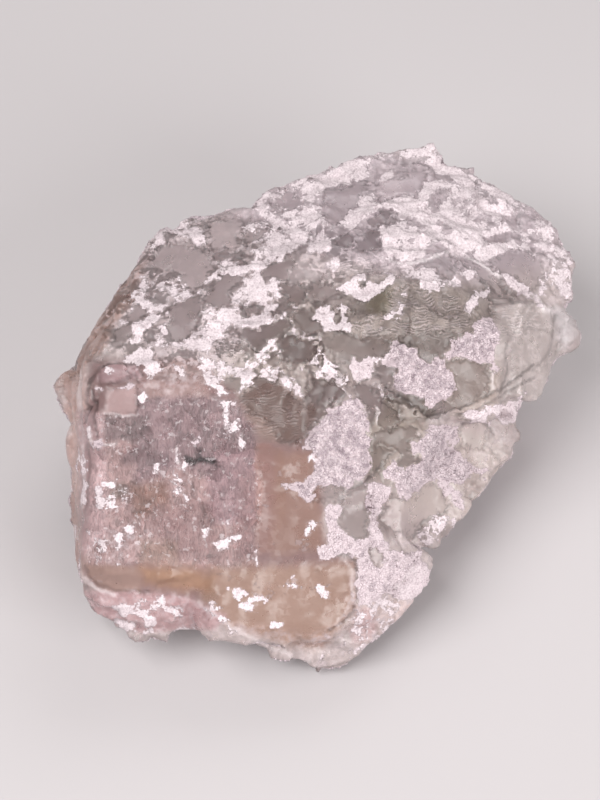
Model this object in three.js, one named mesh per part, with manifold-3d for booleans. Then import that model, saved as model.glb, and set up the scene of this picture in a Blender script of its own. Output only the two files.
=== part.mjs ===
// Sugar fluorite cluster: one natural piece of intergrown cubic fluorite crystals, in millimetres, +Z up.
// It lies on a flat cleavage break, and its best face leans back from straight up.
import * as THREE from "three";
import { ConvexGeometry } from "three/addons/geometries/ConvexGeometry.js";
import { mergeVertices } from "three/addons/utils/BufferGeometryUtils.js";
import Module from "manifold-3d";

const wasm = await Module();
wasm.setup();

// Driving dimensions. Crystals are placed in the display frame, whose axes are across (to the right), up (along
// the best face) and out (away from that face). LEAN turns that frame onto the row frame.
const LEAN = 38; // degrees from straight up to the best face's own direction
const BASE_DROP = 13; // how far the cleavage break lies below the display frame's origin
const LATTICE = [9, 10, 0]; // how the common lattice turns from out: to the right, downwards and round, in degrees
const WOBBLE = 7; // most degrees that a small crystal strays from the common lattice
const FACET_SHARE = 0.1; // share of a main crystal's least side that its edge facets take
const SEED = 20;

// The massive fluorite behind the crystals, as lumps. Each is the convex hull of its corners.
const LUMPS = {
  great: [
    [-23.2, 3.2, 13.2], [-22.9, -18.4, 13.2], [-11, 5, 11.4], [-1.6, 5.5, 10.8], [4.2, 5, 10.6],
    [4.4, -9, 11.2], [4.4, -20, 10.6], [-24.7, -16.8, 5], [-24.9, -8, 5], [-25.3, -3, 3], [-25.4, 3.4, 1.6],
    [-24.5, 6.2, -0.6], [-24.1, -19, 5], [-23.1, -20.9, 6], [-21.5, -21.9, 7.4], [-17.6, -22.9, 8.6],
    [-13.9, -23.1, 9], [-11, -22.7, 9], [-2, -22.4, 9.4], [-21.7, 11, -1.5], [-19.7, 13.5, -3],
    [-18.6, 15, -3.5], [-17.1, 17.7, -4.5], [-16.3, 18.5, -5], [-15.1, 19.3, -5.5], [-14, 19.8, -6],
    [-10.8, 20.6, -6.5], [-8, 21, -7.5], [-0.6, 22, -8.6], [-19.6, 8.8, 5.8], [-15.2, 12, 5], [-9, 12, 6],
    [-1.6, 13.6, 4.6], [-9.4, 18, -1.6], [-1.6, 19.6, -3.6], [-20, -18, -5], [-22, -2, -17.5],
    [-17, 6, -23.7], [0, 11, -27.6], [12, -12, -9.7], [1, -19, -4.2], [-14, 14, -18],
  ],
  foot: [
    [-10.4, -22.9, 8.8], [-5.6, -25, 7.8], [-2.6, -26.1, 7.2], [1.4, -26.4, 6.6], [4.4, -25.5, 6.6],
    [6.9, -24, 6], [9, -21.8, 5.6], [11.2, -18.9, 4.6], [11.5, -17.6, 4.2], [10.7, -15.8, 3.2],
    [4.6, -20.6, 10.8], [4.8, -10, 11.2], [8.4, -16.4, 9.6], [-4, -21, 10.4], [1, -19, -4.2], [-9, -18, -2],
  ],
  crest: [
    [-8, 21, -8], [-5.6, 22.5, -9], [-3.7, 23.3, -10], [-1.6, 24, -11], [0.9, 24.9, -12],
    [3.1, 26.5, -13], [5, 26.9, -13.6], [7.4, 27.7, -14.5], [12.9, 28, -15.4], [13.8, 27, -15.3],
    [16.1, 25.3, -14.8], [18.9, 23.4, -14], [20.2, 22.6, -13.5], [23.4, 21.9, -13], [24.7, 21.4, -12.8],
    [25.5, 19.6, -12], [27.6, 17, -11], [28.6, 15.3, -10], [27.8, 13, -9], [27, 11.5, -8],
    [5.7, 14.8, 3], [12.1, 16, 0.6], [19.7, 15.2, -3.6], [25, 14.6, -7], [6, 21.8, -7],
    [12.5, 22, -8.2], [19.6, 19.6, -8.8], [-1.6, 13.6, 4.4], [-1.6, 7.1, 9.6], [-3, 19.4, -3.4], [2, 20, -20], [14, 21, -22],
    [22, 14, -19], [0, 11, -27.6],
  ],
  right: [
    [-1.6, 7.1, 10.4], [4.5, 7.2, 10.4], [12.6, 0.5, 9], [10.6, 9.5, 8], [17, 10.6, 4.4], [23, 8.9, -0.6],
    [5.7, 14.8, 3], [12.1, 16, 0.6], [19.7, 15.2, -3.6], [27.8, 8.9, -7], [27.9, 7.5, -6.5], [26.1, 5.1, -6],
    [23.8, 2.9, -5], [22, 1.5, -4], [20.6, -0.6, -3], [4, -6.4, 11.2], [19, -4, -15.9], [14, 11, -27.6],
    [21, 5, -22.9], [1, -19, -4.2], [0, 11, -27.6],
  ],
  lowerRight: [
    [21.2, 0.2, -3.4], [20.8, -4.2, -4], [18.4, -6.6, -3], [4, -6.4, 11.2], [12, -0.6, 8.2], [9.4, -7.6, 8],
    [17.6, -7.4, -4], [15.2, -10.6, -2], [10.8, -14.6, -1], [7, -14, 9], [19, -4, -15.9], [12, -12, -9.7],
    [1, -19, -4.2], [0, 0, -19],
  ],
};

// Main crystals: [across, up, out] of the front face's centre, then [width, height, depth], then how far
// the front face turns from out: [to the right, downwards, and round itself anticlockwise], in degrees.
const MAIN_CRYSTALS = {
  greatCube: { at: [-12.1, -7.4, 13.6], size: [21.8, 23, 20], turn: [8, 2, 0] },
  greatCubeStep: { at: [-3.7, -13.8, 12.8], size: [16, 20.6, 18], turn: [8, 4, -1] },
  plateau: { at: [2.9, -4.3, 12.2], size: [7.2, 10.2, 10], turn: [10, -2, -6] },
  rightCube: { at: [14.4, 3.9, 8.3], size: [12.5, 10.6, 12], turn: [26, 2, -8] },
  rightCubeBack: { at: [22.9, 5.6, 1.6], size: [7, 10, 12], turn: [48, 4, -6] },
  rightCubeTop: { at: [12.2, 10.6, 6.8], size: [12, 6, 10], turn: [22, -36, -12] },
  upperLeftCube: { at: [-13.4, 13.9, 2.0], size: [8, 6, 9], turn: [-12, -46, 16] },
  upperLeftStep: { at: [-9.7, 11.2, 6.0], size: [5, 4.4, 7], turn: [0, -24, 24] },
  leftWindow: { at: [-13.4, 8.3, 9.0], size: [4.4, 5.2, 7], turn: [-4, -32, 8] },
  middleLedge: { at: [-4.4, 7.0, 10.6], size: [7, 4, 7], turn: [6, -20, 12] },
  middleStep: { at: [0.6, 5.2, 11.2], size: [5, 5, 8], turn: [12, -16, -4] },
  ridgeWindow: { at: [-3.4, 14.2, 4.6], size: [5, 3.6, 7], turn: [4, -38, 22] },
  ridgeCube: { at: [3.9, 16.4, 2.0], size: [5, 4.2, 8], turn: [8, -34, 10] },
  crestWindow: { at: [3.3, 21.8, -6.2], size: [6.4, 4.4, 8], turn: [6, -44, 14] },
  crestCube: { at: [10.4, 23.7, -9.4], size: [7, 5, 8], turn: [12, -44, 6] },
  crestCap: { at: [11.4, 27.8, -14], size: [4.8, 2.4, 5], turn: [10, -30, 0] },
  crestShoulder: { at: [6.6, 26.8, -13], size: [4, 3, 5], turn: [4, -36, 12] },
  greyWindow: { at: [13.0, 14.5, 2.4], size: [5.6, 4.4, 8], turn: [18, -42, -8] },
  shoulderWindow: { at: [21.0, 14.4, -3.2], size: [6.4, 6, 9], turn: [42, -34, -28] },
  shoulderCube: { at: [23.4, 20.0, -11.2], size: [5.4, 3.8, 7], turn: [30, -36, -10] },
  rightTip: { at: [27.0, 14.4, -8.6], size: [4.4, 6.6, 8], turn: [56, -16, -20] },
  lowerRightCube: { at: [18.0, -3.4, 0.6], size: [7.4, 6.4, 9], turn: [30, 8, -38] },
  lowerRightStep: { at: [12.6, -10.4, 4.0], size: [7.6, 6.8, 9], turn: [26, 12, -42] },
  footCube: { at: [8.3, -18.2, 8.2], size: [7.2, 8.4, 9], turn: [34, 14, -28] },
  leftTip: { at: [-25.6, 0.6, 1.4], size: [3.4, 5.4, 8], turn: [-34, 4, 24] },
};

// Small crystals stand out of every side: how far apart they are, their sides, and how far they stand out.
const FRONT_SPACING = 3.2;
const BACK_SPACING = 6;
const SIDE_SHARE = [0.8, 1.45]; // a small crystal's side over its spacing
const STAND_OUT = [0.3, 0.95];
const FOLLOW_SHARE = [0.0, 0.7]; // how far a small crystal's front face turns from the lattice to the surface
const MAIN_MARGIN = 0.6; // no small crystal grows nearer than this to the side of a main crystal
const MAIN_REACH = 3; // nor in front of one, to this height
const SKIN = 1.3; // small crystals are broken off where they reach beyond the lumps' skin of this thickness
const CANDIDATES = 14; // places tried for each small crystal, of which the emptiest is kept
const FRONT_FACING = 0.1; // a surface whose normal points further out than this is in front

const WELD = 1e-4; // corners nearer than this are one
const FLOOR_SIZE = [200, 200, 100]; // the block below the cleavage break, which cuts the piece off flat

const toRadians = THREE.MathUtils.degToRad;

// A seeded random stream, so that every build is the same.
function randomStream(seed) {
  let state = seed;
  return (low = 0, high = 1) => {
    state = (state * 1664525 + 1013904223) % 4294967296;
    return low + ((high - low) * state) / 4294967296;
  };
}

// A closed three.js geometry as a solid that can be joined and cut.
function solidOf(geometry) {
  const bare = geometry.clone();
  bare.deleteAttribute("normal");
  bare.deleteAttribute("uv");
  const merged = mergeVertices(bare, WELD);
  return new wasm.Manifold(
    new wasm.Mesh({
      numProp: 3,
      vertProperties: new Float32Array(merged.attributes.position.array),
      triVerts: new Uint32Array(merged.index.array),
    }),
  );
}

// A block with a narrow facet along each edge: the hull of three blocks, each short on two sides.
function facetedBlock(width, height, depth, facet) {
  const corners = [];
  const half = [width / 2, height / 2, depth / 2];
  for (let long = 0; long < 3; long += 1)
    for (const x of [-1, 1])
      for (const y of [-1, 1])
        for (const z of [-1, 1]) {
          const sign = [x, y, z];
          const reach = half.map((h, k) => sign[k] * (k === long ? h : h - facet));
          corners.push(new THREE.Vector3(...reach));
        }
  return new ConvexGeometry(corners);
}

function lump(corners) {
  return new ConvexGeometry(corners.map((p) => new THREE.Vector3(...p)));
}

// The rotation of a crystal whose front face turns from out by these degrees.
function turned([right, down, round]) {
  return new THREE.Matrix4().makeRotationFromEuler(
    new THREE.Euler(toRadians(down), toRadians(right), toRadians(round), "YXZ"),
  );
}

// A main crystal, with its front face's centre at its place in the display frame.
function mainCrystal({ at, size, turn }) {
  const facet = FACET_SHARE * Math.min(...size);
  return facetedBlock(...size, facet)
    .translate(0, 0, -size[2] / 2)
    .applyMatrix4(turned(turn))
    .translate(...at);
}

// A lump with a skin round it: the hull of its corners, each moved by the skin's thickness along every axis.
function grownLump(corners) {
  const spread = corners.flatMap(([x, y, z]) =>
    [-SKIN, SKIN].flatMap((by) => [[x + by, y, z], [x, y + by, z], [x, y, z + by]]),
  );
  return lump(spread);
}

// Random places on a closed surface, spread by keeping the candidate farthest from its neighbours.
function spreadPlaces(geometry, random) {
  const position = geometry.attributes.position;
  const corner = (k) => new THREE.Vector3().fromBufferAttribute(position, k);
  const faces = [];
  let total = 0;
  for (let k = 0; k < position.count; k += 3) {
    const triangle = new THREE.Triangle(corner(k), corner(k + 1), corner(k + 2));
    const normal = triangle.getNormal(new THREE.Vector3());
    const spacing = normal.z > FRONT_FACING ? FRONT_SPACING : BACK_SPACING;
    total += triangle.getArea() / spacing ** 2;
    faces.push({ triangle, normal, spacing, reach: total });
  }
  const pick = () => {
    const mark = random(0, total);
    const face = faces.find((f) => f.reach >= mark);
    const s = Math.sqrt(random());
    const t = random();
    const { a, b, c } = face.triangle;
    const place = a.clone().multiplyScalar(1 - s).addScaledVector(b, s * (1 - t)).addScaledVector(c, s * t);
    return { place, normal: face.normal, spacing: face.spacing };
  };
  const kept = [];
  for (let n = 0; n < total; n += 1) {
    const tried = Array.from({ length: CANDIDATES }, pick);
    const room = (t) => Math.min(...kept.map((k) => k.place.distanceTo(t.place) / t.spacing));
    kept.push(tried.reduce((best, t) => (room(t) > room(best) ? t : best)));
  }
  return kept;
}

// A small crystal on the surface at one place. Its depth is set so that it stands out by the wanted amount.
function smallCrystal({ place, normal, spacing }, random) {
  const size = [0, 1, 2].map(() => spacing * random(...SIDE_SHARE));
  const wobble = [0, 1, 2].map(() => random(-WOBBLE, WOBBLE));
  const lattice = turned([LATTICE[0] + wobble[0], LATTICE[1] + wobble[1], LATTICE[2] + wobble[2]]);
  const outwards = new THREE.Vector3().setFromMatrixColumn(lattice, 2);
  const wanted = outwards.clone().lerp(normal, random(...FOLLOW_SHARE)).normalize();
  const follow = new THREE.Quaternion().setFromUnitVectors(outwards, wanted);
  const rotation = new THREE.Matrix4().makeRotationFromQuaternion(follow).multiply(lattice);
  const axes = [0, 1, 2].map((k) => new THREE.Vector3().setFromMatrixColumn(rotation, k));
  const reach = axes.reduce((sum, axis, k) => sum + (Math.abs(axis.dot(normal)) * size[k]) / 2, 0);
  const centre = place.clone().addScaledVector(normal, random(...STAND_OUT) - reach);
  return new THREE.BoxGeometry(...size).applyMatrix4(rotation).translate(...centre);
}

// Whether a place lies in or within the margin of a main crystal, where no small crystal grows.
function isTaken(place) {
  return Object.values(MAIN_CRYSTALS).some(({ at, size, turn }) => {
    const local = place.clone().sub(new THREE.Vector3(...at)).applyMatrix4(turned(turn).invert());
    const over = [Math.abs(local.x) - size[0] / 2, Math.abs(local.y) - size[1] / 2, -local.z - size[2]];
    return Math.max(...over) < MAIN_MARGIN && local.z < MAIN_REACH;
  });
}

const displayToRow = new THREE.Matrix4()
  .makeTranslation(0, 0, BASE_DROP)
  .multiply(new THREE.Matrix4().makeRotationX(toRadians(LEAN)));

// The union of some display-frame geometries, in the row frame.
function joinedInRow(geometries) {
  return geometries
    .map((geometry) => solidOf(geometry.clone().applyMatrix4(displayToRow)))
    .reduce((all, piece) => all.add(piece));
}

const random = randomStream(SEED);
const lumps = Object.values(LUMPS).map(lump);
const mainCrystals = Object.values(MAIN_CRYSTALS).map(mainCrystal);
const smallCrystals = lumps
  .flatMap((geometry) => spreadPlaces(geometry, random))
  .filter(({ place }) => !isTaken(place))
  .map((spot) => smallCrystal(spot, random));

const skin = joinedInRow(Object.values(LUMPS).map(grownLump));
const floor = solidOf(new THREE.BoxGeometry(...FLOOR_SIZE).translate(0, 0, -FLOOR_SIZE[2] / 2));
const joined = joinedInRow([...lumps, ...mainCrystals])
  .add(joinedInRow(smallCrystals).intersect(skin))
  .subtract(floor);
// Only the outer skin is kept, so that a gap sealed between crystals is filled.
const [whole] = joined.decompose().sort((a, b) => b.volume() - a.volume());

function geometryOf(solid) {
  const mesh = solid.getMesh();
  const geometry = new THREE.BufferGeometry();
  geometry.setAttribute("position", new THREE.BufferAttribute(mesh.vertProperties, 3));
  geometry.setIndex(new THREE.BufferAttribute(mesh.triVerts, 1));
  geometry.computeVertexNormals();
  return geometry;
}

const fluorite = new THREE.MeshStandardMaterial({ color: 0xb9b8ae, roughness: 0.15, metalness: 0 });
const cluster = new THREE.Mesh(geometryOf(whole), fluorite);
cluster.name = "fluorite_cluster";

const specimen = new THREE.Group();
specimen.add(cluster);
export default specimen;
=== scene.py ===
import bmesh
import bpy
import numpy as np
from mathutils import Matrix, Vector


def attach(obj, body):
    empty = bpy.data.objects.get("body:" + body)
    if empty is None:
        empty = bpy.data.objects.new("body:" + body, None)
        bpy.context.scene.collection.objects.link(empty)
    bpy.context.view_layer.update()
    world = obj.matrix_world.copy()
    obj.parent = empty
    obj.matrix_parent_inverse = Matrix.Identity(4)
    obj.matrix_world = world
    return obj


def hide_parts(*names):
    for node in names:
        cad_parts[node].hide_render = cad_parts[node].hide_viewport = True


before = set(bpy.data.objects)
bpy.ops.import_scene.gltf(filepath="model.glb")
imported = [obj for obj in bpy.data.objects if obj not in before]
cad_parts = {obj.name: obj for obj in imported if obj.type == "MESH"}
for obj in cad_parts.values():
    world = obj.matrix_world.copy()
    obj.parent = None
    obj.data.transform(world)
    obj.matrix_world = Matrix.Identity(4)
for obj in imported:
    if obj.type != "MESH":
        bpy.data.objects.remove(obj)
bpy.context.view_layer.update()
mm = 0.001
print("frame loaded")

# The cluster is described on the plane that a viewer above its front sees: across, up and out, in mm.
# It lies back on its base, so that plane leans by the tilt and its middle stands above the floor by the
# lift.
viewer = {"tilt": 38.0, "lift": 13.0, "aimAcross": -1.579, "aimUp": 0.526, "distance": 280.0}
leanCos = np.cos(np.radians(viewer["tilt"]))
leanSin = np.sin(np.radians(viewer["tilt"]))
outward = np.array([0.0, -leanSin, leanCos])


def toRow(across, up, out):
    # a turn about X by the tilt, then the lift
    return np.array([across, up * leanCos - out * leanSin, up * leanSin + out * leanCos + viewer["lift"]])


def toPlane(points):
    # the same turn backwards, then the perspective of an eye at the viewer's distance, all in mm
    up = points[:, 1] * leanCos + (points[:, 2] - viewer["lift"]) * leanSin
    out = -points[:, 1] * leanSin + (points[:, 2] - viewer["lift"]) * leanCos
    nearer = viewer["distance"] / (viewer["distance"] - out)
    return (points[:, 0] - viewer["aimAcross"]) * nearer, (up - viewer["aimUp"]) * nearer


def hexColour(text):
    # sRGB hex to the linear red, green and blue that a shader takes, with a full alpha
    share = [int(text[i : i + 2], 16) / 255 for i in (1, 3, 5)]
    return [c / 12.92 if c <= 0.04045 else ((c + 0.055) / 1.055) ** 2.4 for c in share] + [1.0]


def addNode(tree, kind, sockets=None, output=0, **settings):
    # Settings are the node's own. Each of its sockets gets a value, or a link from another node's output.
    # Some go by number: 0 is the share of a mix, 6 and 7 are its colours and 2 their output, or 2 and 3 are
    # its numbers and 0 their output.
    node = tree.nodes.new("ShaderNode" + kind)
    for name, value in settings.items():
        setattr(node, name, value)
    for name, value in (sockets or {}).items():
        if isinstance(value, bpy.types.NodeSocket):
            tree.links.new(value, node.inputs[name])
        else:
            node.inputs[name].default_value = value
    return node.outputs[output] if node.outputs else node


def hashed(cell, seed):
    # a repeatable random value from 0 to 1 for each whole-numbered cell
    mixed = cell[:, 0] * 374761393 + cell[:, 1] * 668265263 + cell[:, 2] * 2147483647 + seed * 974711
    mixed = (mixed ^ (mixed >> 13)) * 1274126177
    return ((mixed ^ (mixed >> 16)) & 0xFFFFFF) / 0xFFFFFF


def latticeNoise(points, size, seed):
    # a random value from -1 to 1 at each corner of a cubic lattice of this size, blended smoothly in between
    place = points / size + 71.3 * seed
    cell = np.floor(place).astype(np.int64)
    t = place - cell
    t = t * t * (3 - 2 * t)
    total = np.zeros(len(points))
    for corner in np.ndindex(2, 2, 2):
        weight = np.prod(np.where(corner, t, 1 - t), axis=1)
        total += weight * (2 * hashed(cell + corner, seed) - 1)
    return total


def layeredNoise(points, layers):
    # the sum of several noises, each with its size in mm, its strength and its seed
    return sum(strength * latticeNoise(points, size, seed) for size, strength, seed in layers)


def turnAbout(degrees):
    # rotation matrices for arrays of angles about the three axes, applied across first, then up, then out
    x, y, z = np.radians(degrees)
    one, none = np.ones_like(x), np.zeros_like(x)
    aboutX = np.array([[one, none, none], [none, np.cos(x), -np.sin(x)], [none, np.sin(x), np.cos(x)]])
    aboutY = np.array([[np.cos(y), none, np.sin(y)], [none, one, none], [-np.sin(y), none, np.cos(y)]])
    aboutZ = np.array([[np.cos(z), -np.sin(z), none], [np.sin(z), np.cos(z), none], [none, none, one]])
    return np.einsum("ijn,jkn,kln->nil", aboutZ, aboutY, aboutX)


rowTurn = np.array([[1, 0, 0], [0, leanCos, -leanSin], [0, leanSin, leanCos]])
cubeLattice = (8.0, 2.0, 0.0)  # degrees about across, up and out: how the great cube lies
latticeTurn = rowTurn @ turnAbout(np.array(cubeLattice)[:, None])[0]


def facets(points, size, seed, tiltShare):
    # Each point belongs to the nearest of a jittered lattice of seeds, by a distance between round and
    # square. Its height is its cell's own level plus the cell's own slope, from about -1 to 1. The second
    # value is how far the next cell's seed is beyond the nearest one's, 0 along the joint between two cells.
    power = 3.5  # of the distance: 2 is round, and a great one is square
    place = points @ latticeTurn / size + 19.7 * seed
    cell = np.floor(place).astype(np.int64)
    nearest = np.full(len(points), np.inf)
    second = np.full(len(points), np.inf)
    height = np.zeros(len(points))
    for step in np.ndindex(3, 3, 3):
        other = cell + np.array(step) - 1
        jitter = np.stack([hashed(other, seed + k) for k in range(3)], 1)
        offset = place - other - 0.5 - 0.8 * (jitter - 0.5)
        distance = np.power(np.power(np.abs(offset), power).sum(1), 1 / power)
        slope = np.stack([hashed(other, seed + k) for k in (3, 4, 5)], 1) * 2 - 1
        level = 2 * hashed(other, seed + 6) - 1
        own = (1 - tiltShare) * level + 2 * tiltShare * (slope * offset).sum(1)
        closer = distance < nearest
        second = np.where(closer, nearest, np.minimum(second, distance))
        nearest = np.where(closer, distance, nearest)
        height = np.where(closer, own, height)
    return height, second - nearest


def ellipsePlace(a, b, shape):
    # how far out a point lies in an ellipse's own axes, 1 at its edge
    middleA, middleB, halfA, halfB, turn = shape
    turn = np.radians(turn)
    along = (a - middleA) * np.cos(turn) + (b - middleB) * np.sin(turn)
    over = (b - middleB) * np.cos(turn) - (a - middleA) * np.sin(turn)
    return np.hypot(along / halfA, over / halfB)


def reach(a, b, shapes):
    # how far inside the nearest ellipse a point is, in mm, and below 0 outside them all
    best = np.full(len(a), -np.inf)
    for shape in shapes:
        best = np.maximum(best, (1 - ellipsePlace(a, b, shape)) * np.sqrt(shape[2] * shape[3]))
    return best


edgeReach = 2.0  # mm, the furthest that a distance to an outline or a line is worked out


def lineDistance(a, b, line, closed=False):
    # The distance in mm to a line's nearest stretch, at most the reach, and whether a closed line holds the
    # point, which it does where a ray from the point crosses an odd number of stretches.
    corners = np.array(line)
    low, high = corners.min(0) - edgeReach, corners.max(0) + edgeReach
    near = np.flatnonzero((a > low[0]) & (a < high[0]) & (b > low[1]) & (b < high[1]))
    place = np.stack([a[near], b[near]], 1)
    nearest = np.full(len(near), edgeReach)
    inside = np.zeros(len(near), bool)
    for start, end in zip(corners, np.roll(corners, -1, axis=0) if closed else corners[1:]):
        edge = end - start
        share = np.clip((place - start) @ edge / (edge @ edge), 0, 1)
        nearest = np.minimum(nearest, np.linalg.norm(place - start - share[:, None] * edge, axis=1))
        spans = (start[1] > place[:, 1]) != (end[1] > place[:, 1])
        crossing = start[0] + edge[0] * (place[:, 1] - start[1]) / (edge[1] if edge[1] else 1)
        inside ^= spans & (place[:, 0] < crossing)
    distance, within = np.full(len(a), edgeReach), np.zeros(len(a), bool)
    distance[near], within[near] = nearest, inside
    return distance, within


def outlineDepth(a, b, outline):
    # the distance in mm to the outline's nearest edge, above 0 inside it and below 0 outside it
    distance, within = lineDistance(a, b, outline, closed=True)
    return np.where(within, distance, -distance)


fades = {  # where each soft change starts and where it is full
    "facing": (-0.1, 0.15),  # how squarely a face looks at the viewer
    "base": (0.1, 0.9),  # mm above the base
    "isCrust": (0.35, 0.75),  # share of crust
    "network": (-0.45, 0.45),  # the network of crust round the sides
    "windowCut": (-0.12, 0.28),  # mm inside a window, which cuts the crust there
    "clear": (-0.1, 0.12),  # mm inside a window
    "rim": (0.05, 0.22),  # mm from a window's edge
    "crease": (0.3, 1.1),  # times a crease's half width
    "calm": (-0.6, 0.6),  # mm inside a flat face
    "area": (-0.2, 0.15),  # share of an ellipse's reach inside its edge
    "zone": (-0.25, 0.25),
    "frost": (0, 0.3),  # strength of the frost, which noise then breaks up
    "joint": (0, 0.1),  # the groove between two cobbles, in shares of a cobble
    "jointShade": (0, 0.08),  # and its painted shade
}


def smoothStep(value, low, high):
    # 0 up to the low value, 1 from the high one, and an eased ramp between: 3 t squared less 2 t cubed
    t = np.clip((value - low) / (high - low), 0, 1)
    return t * t * (3 - 2 * t)


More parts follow.
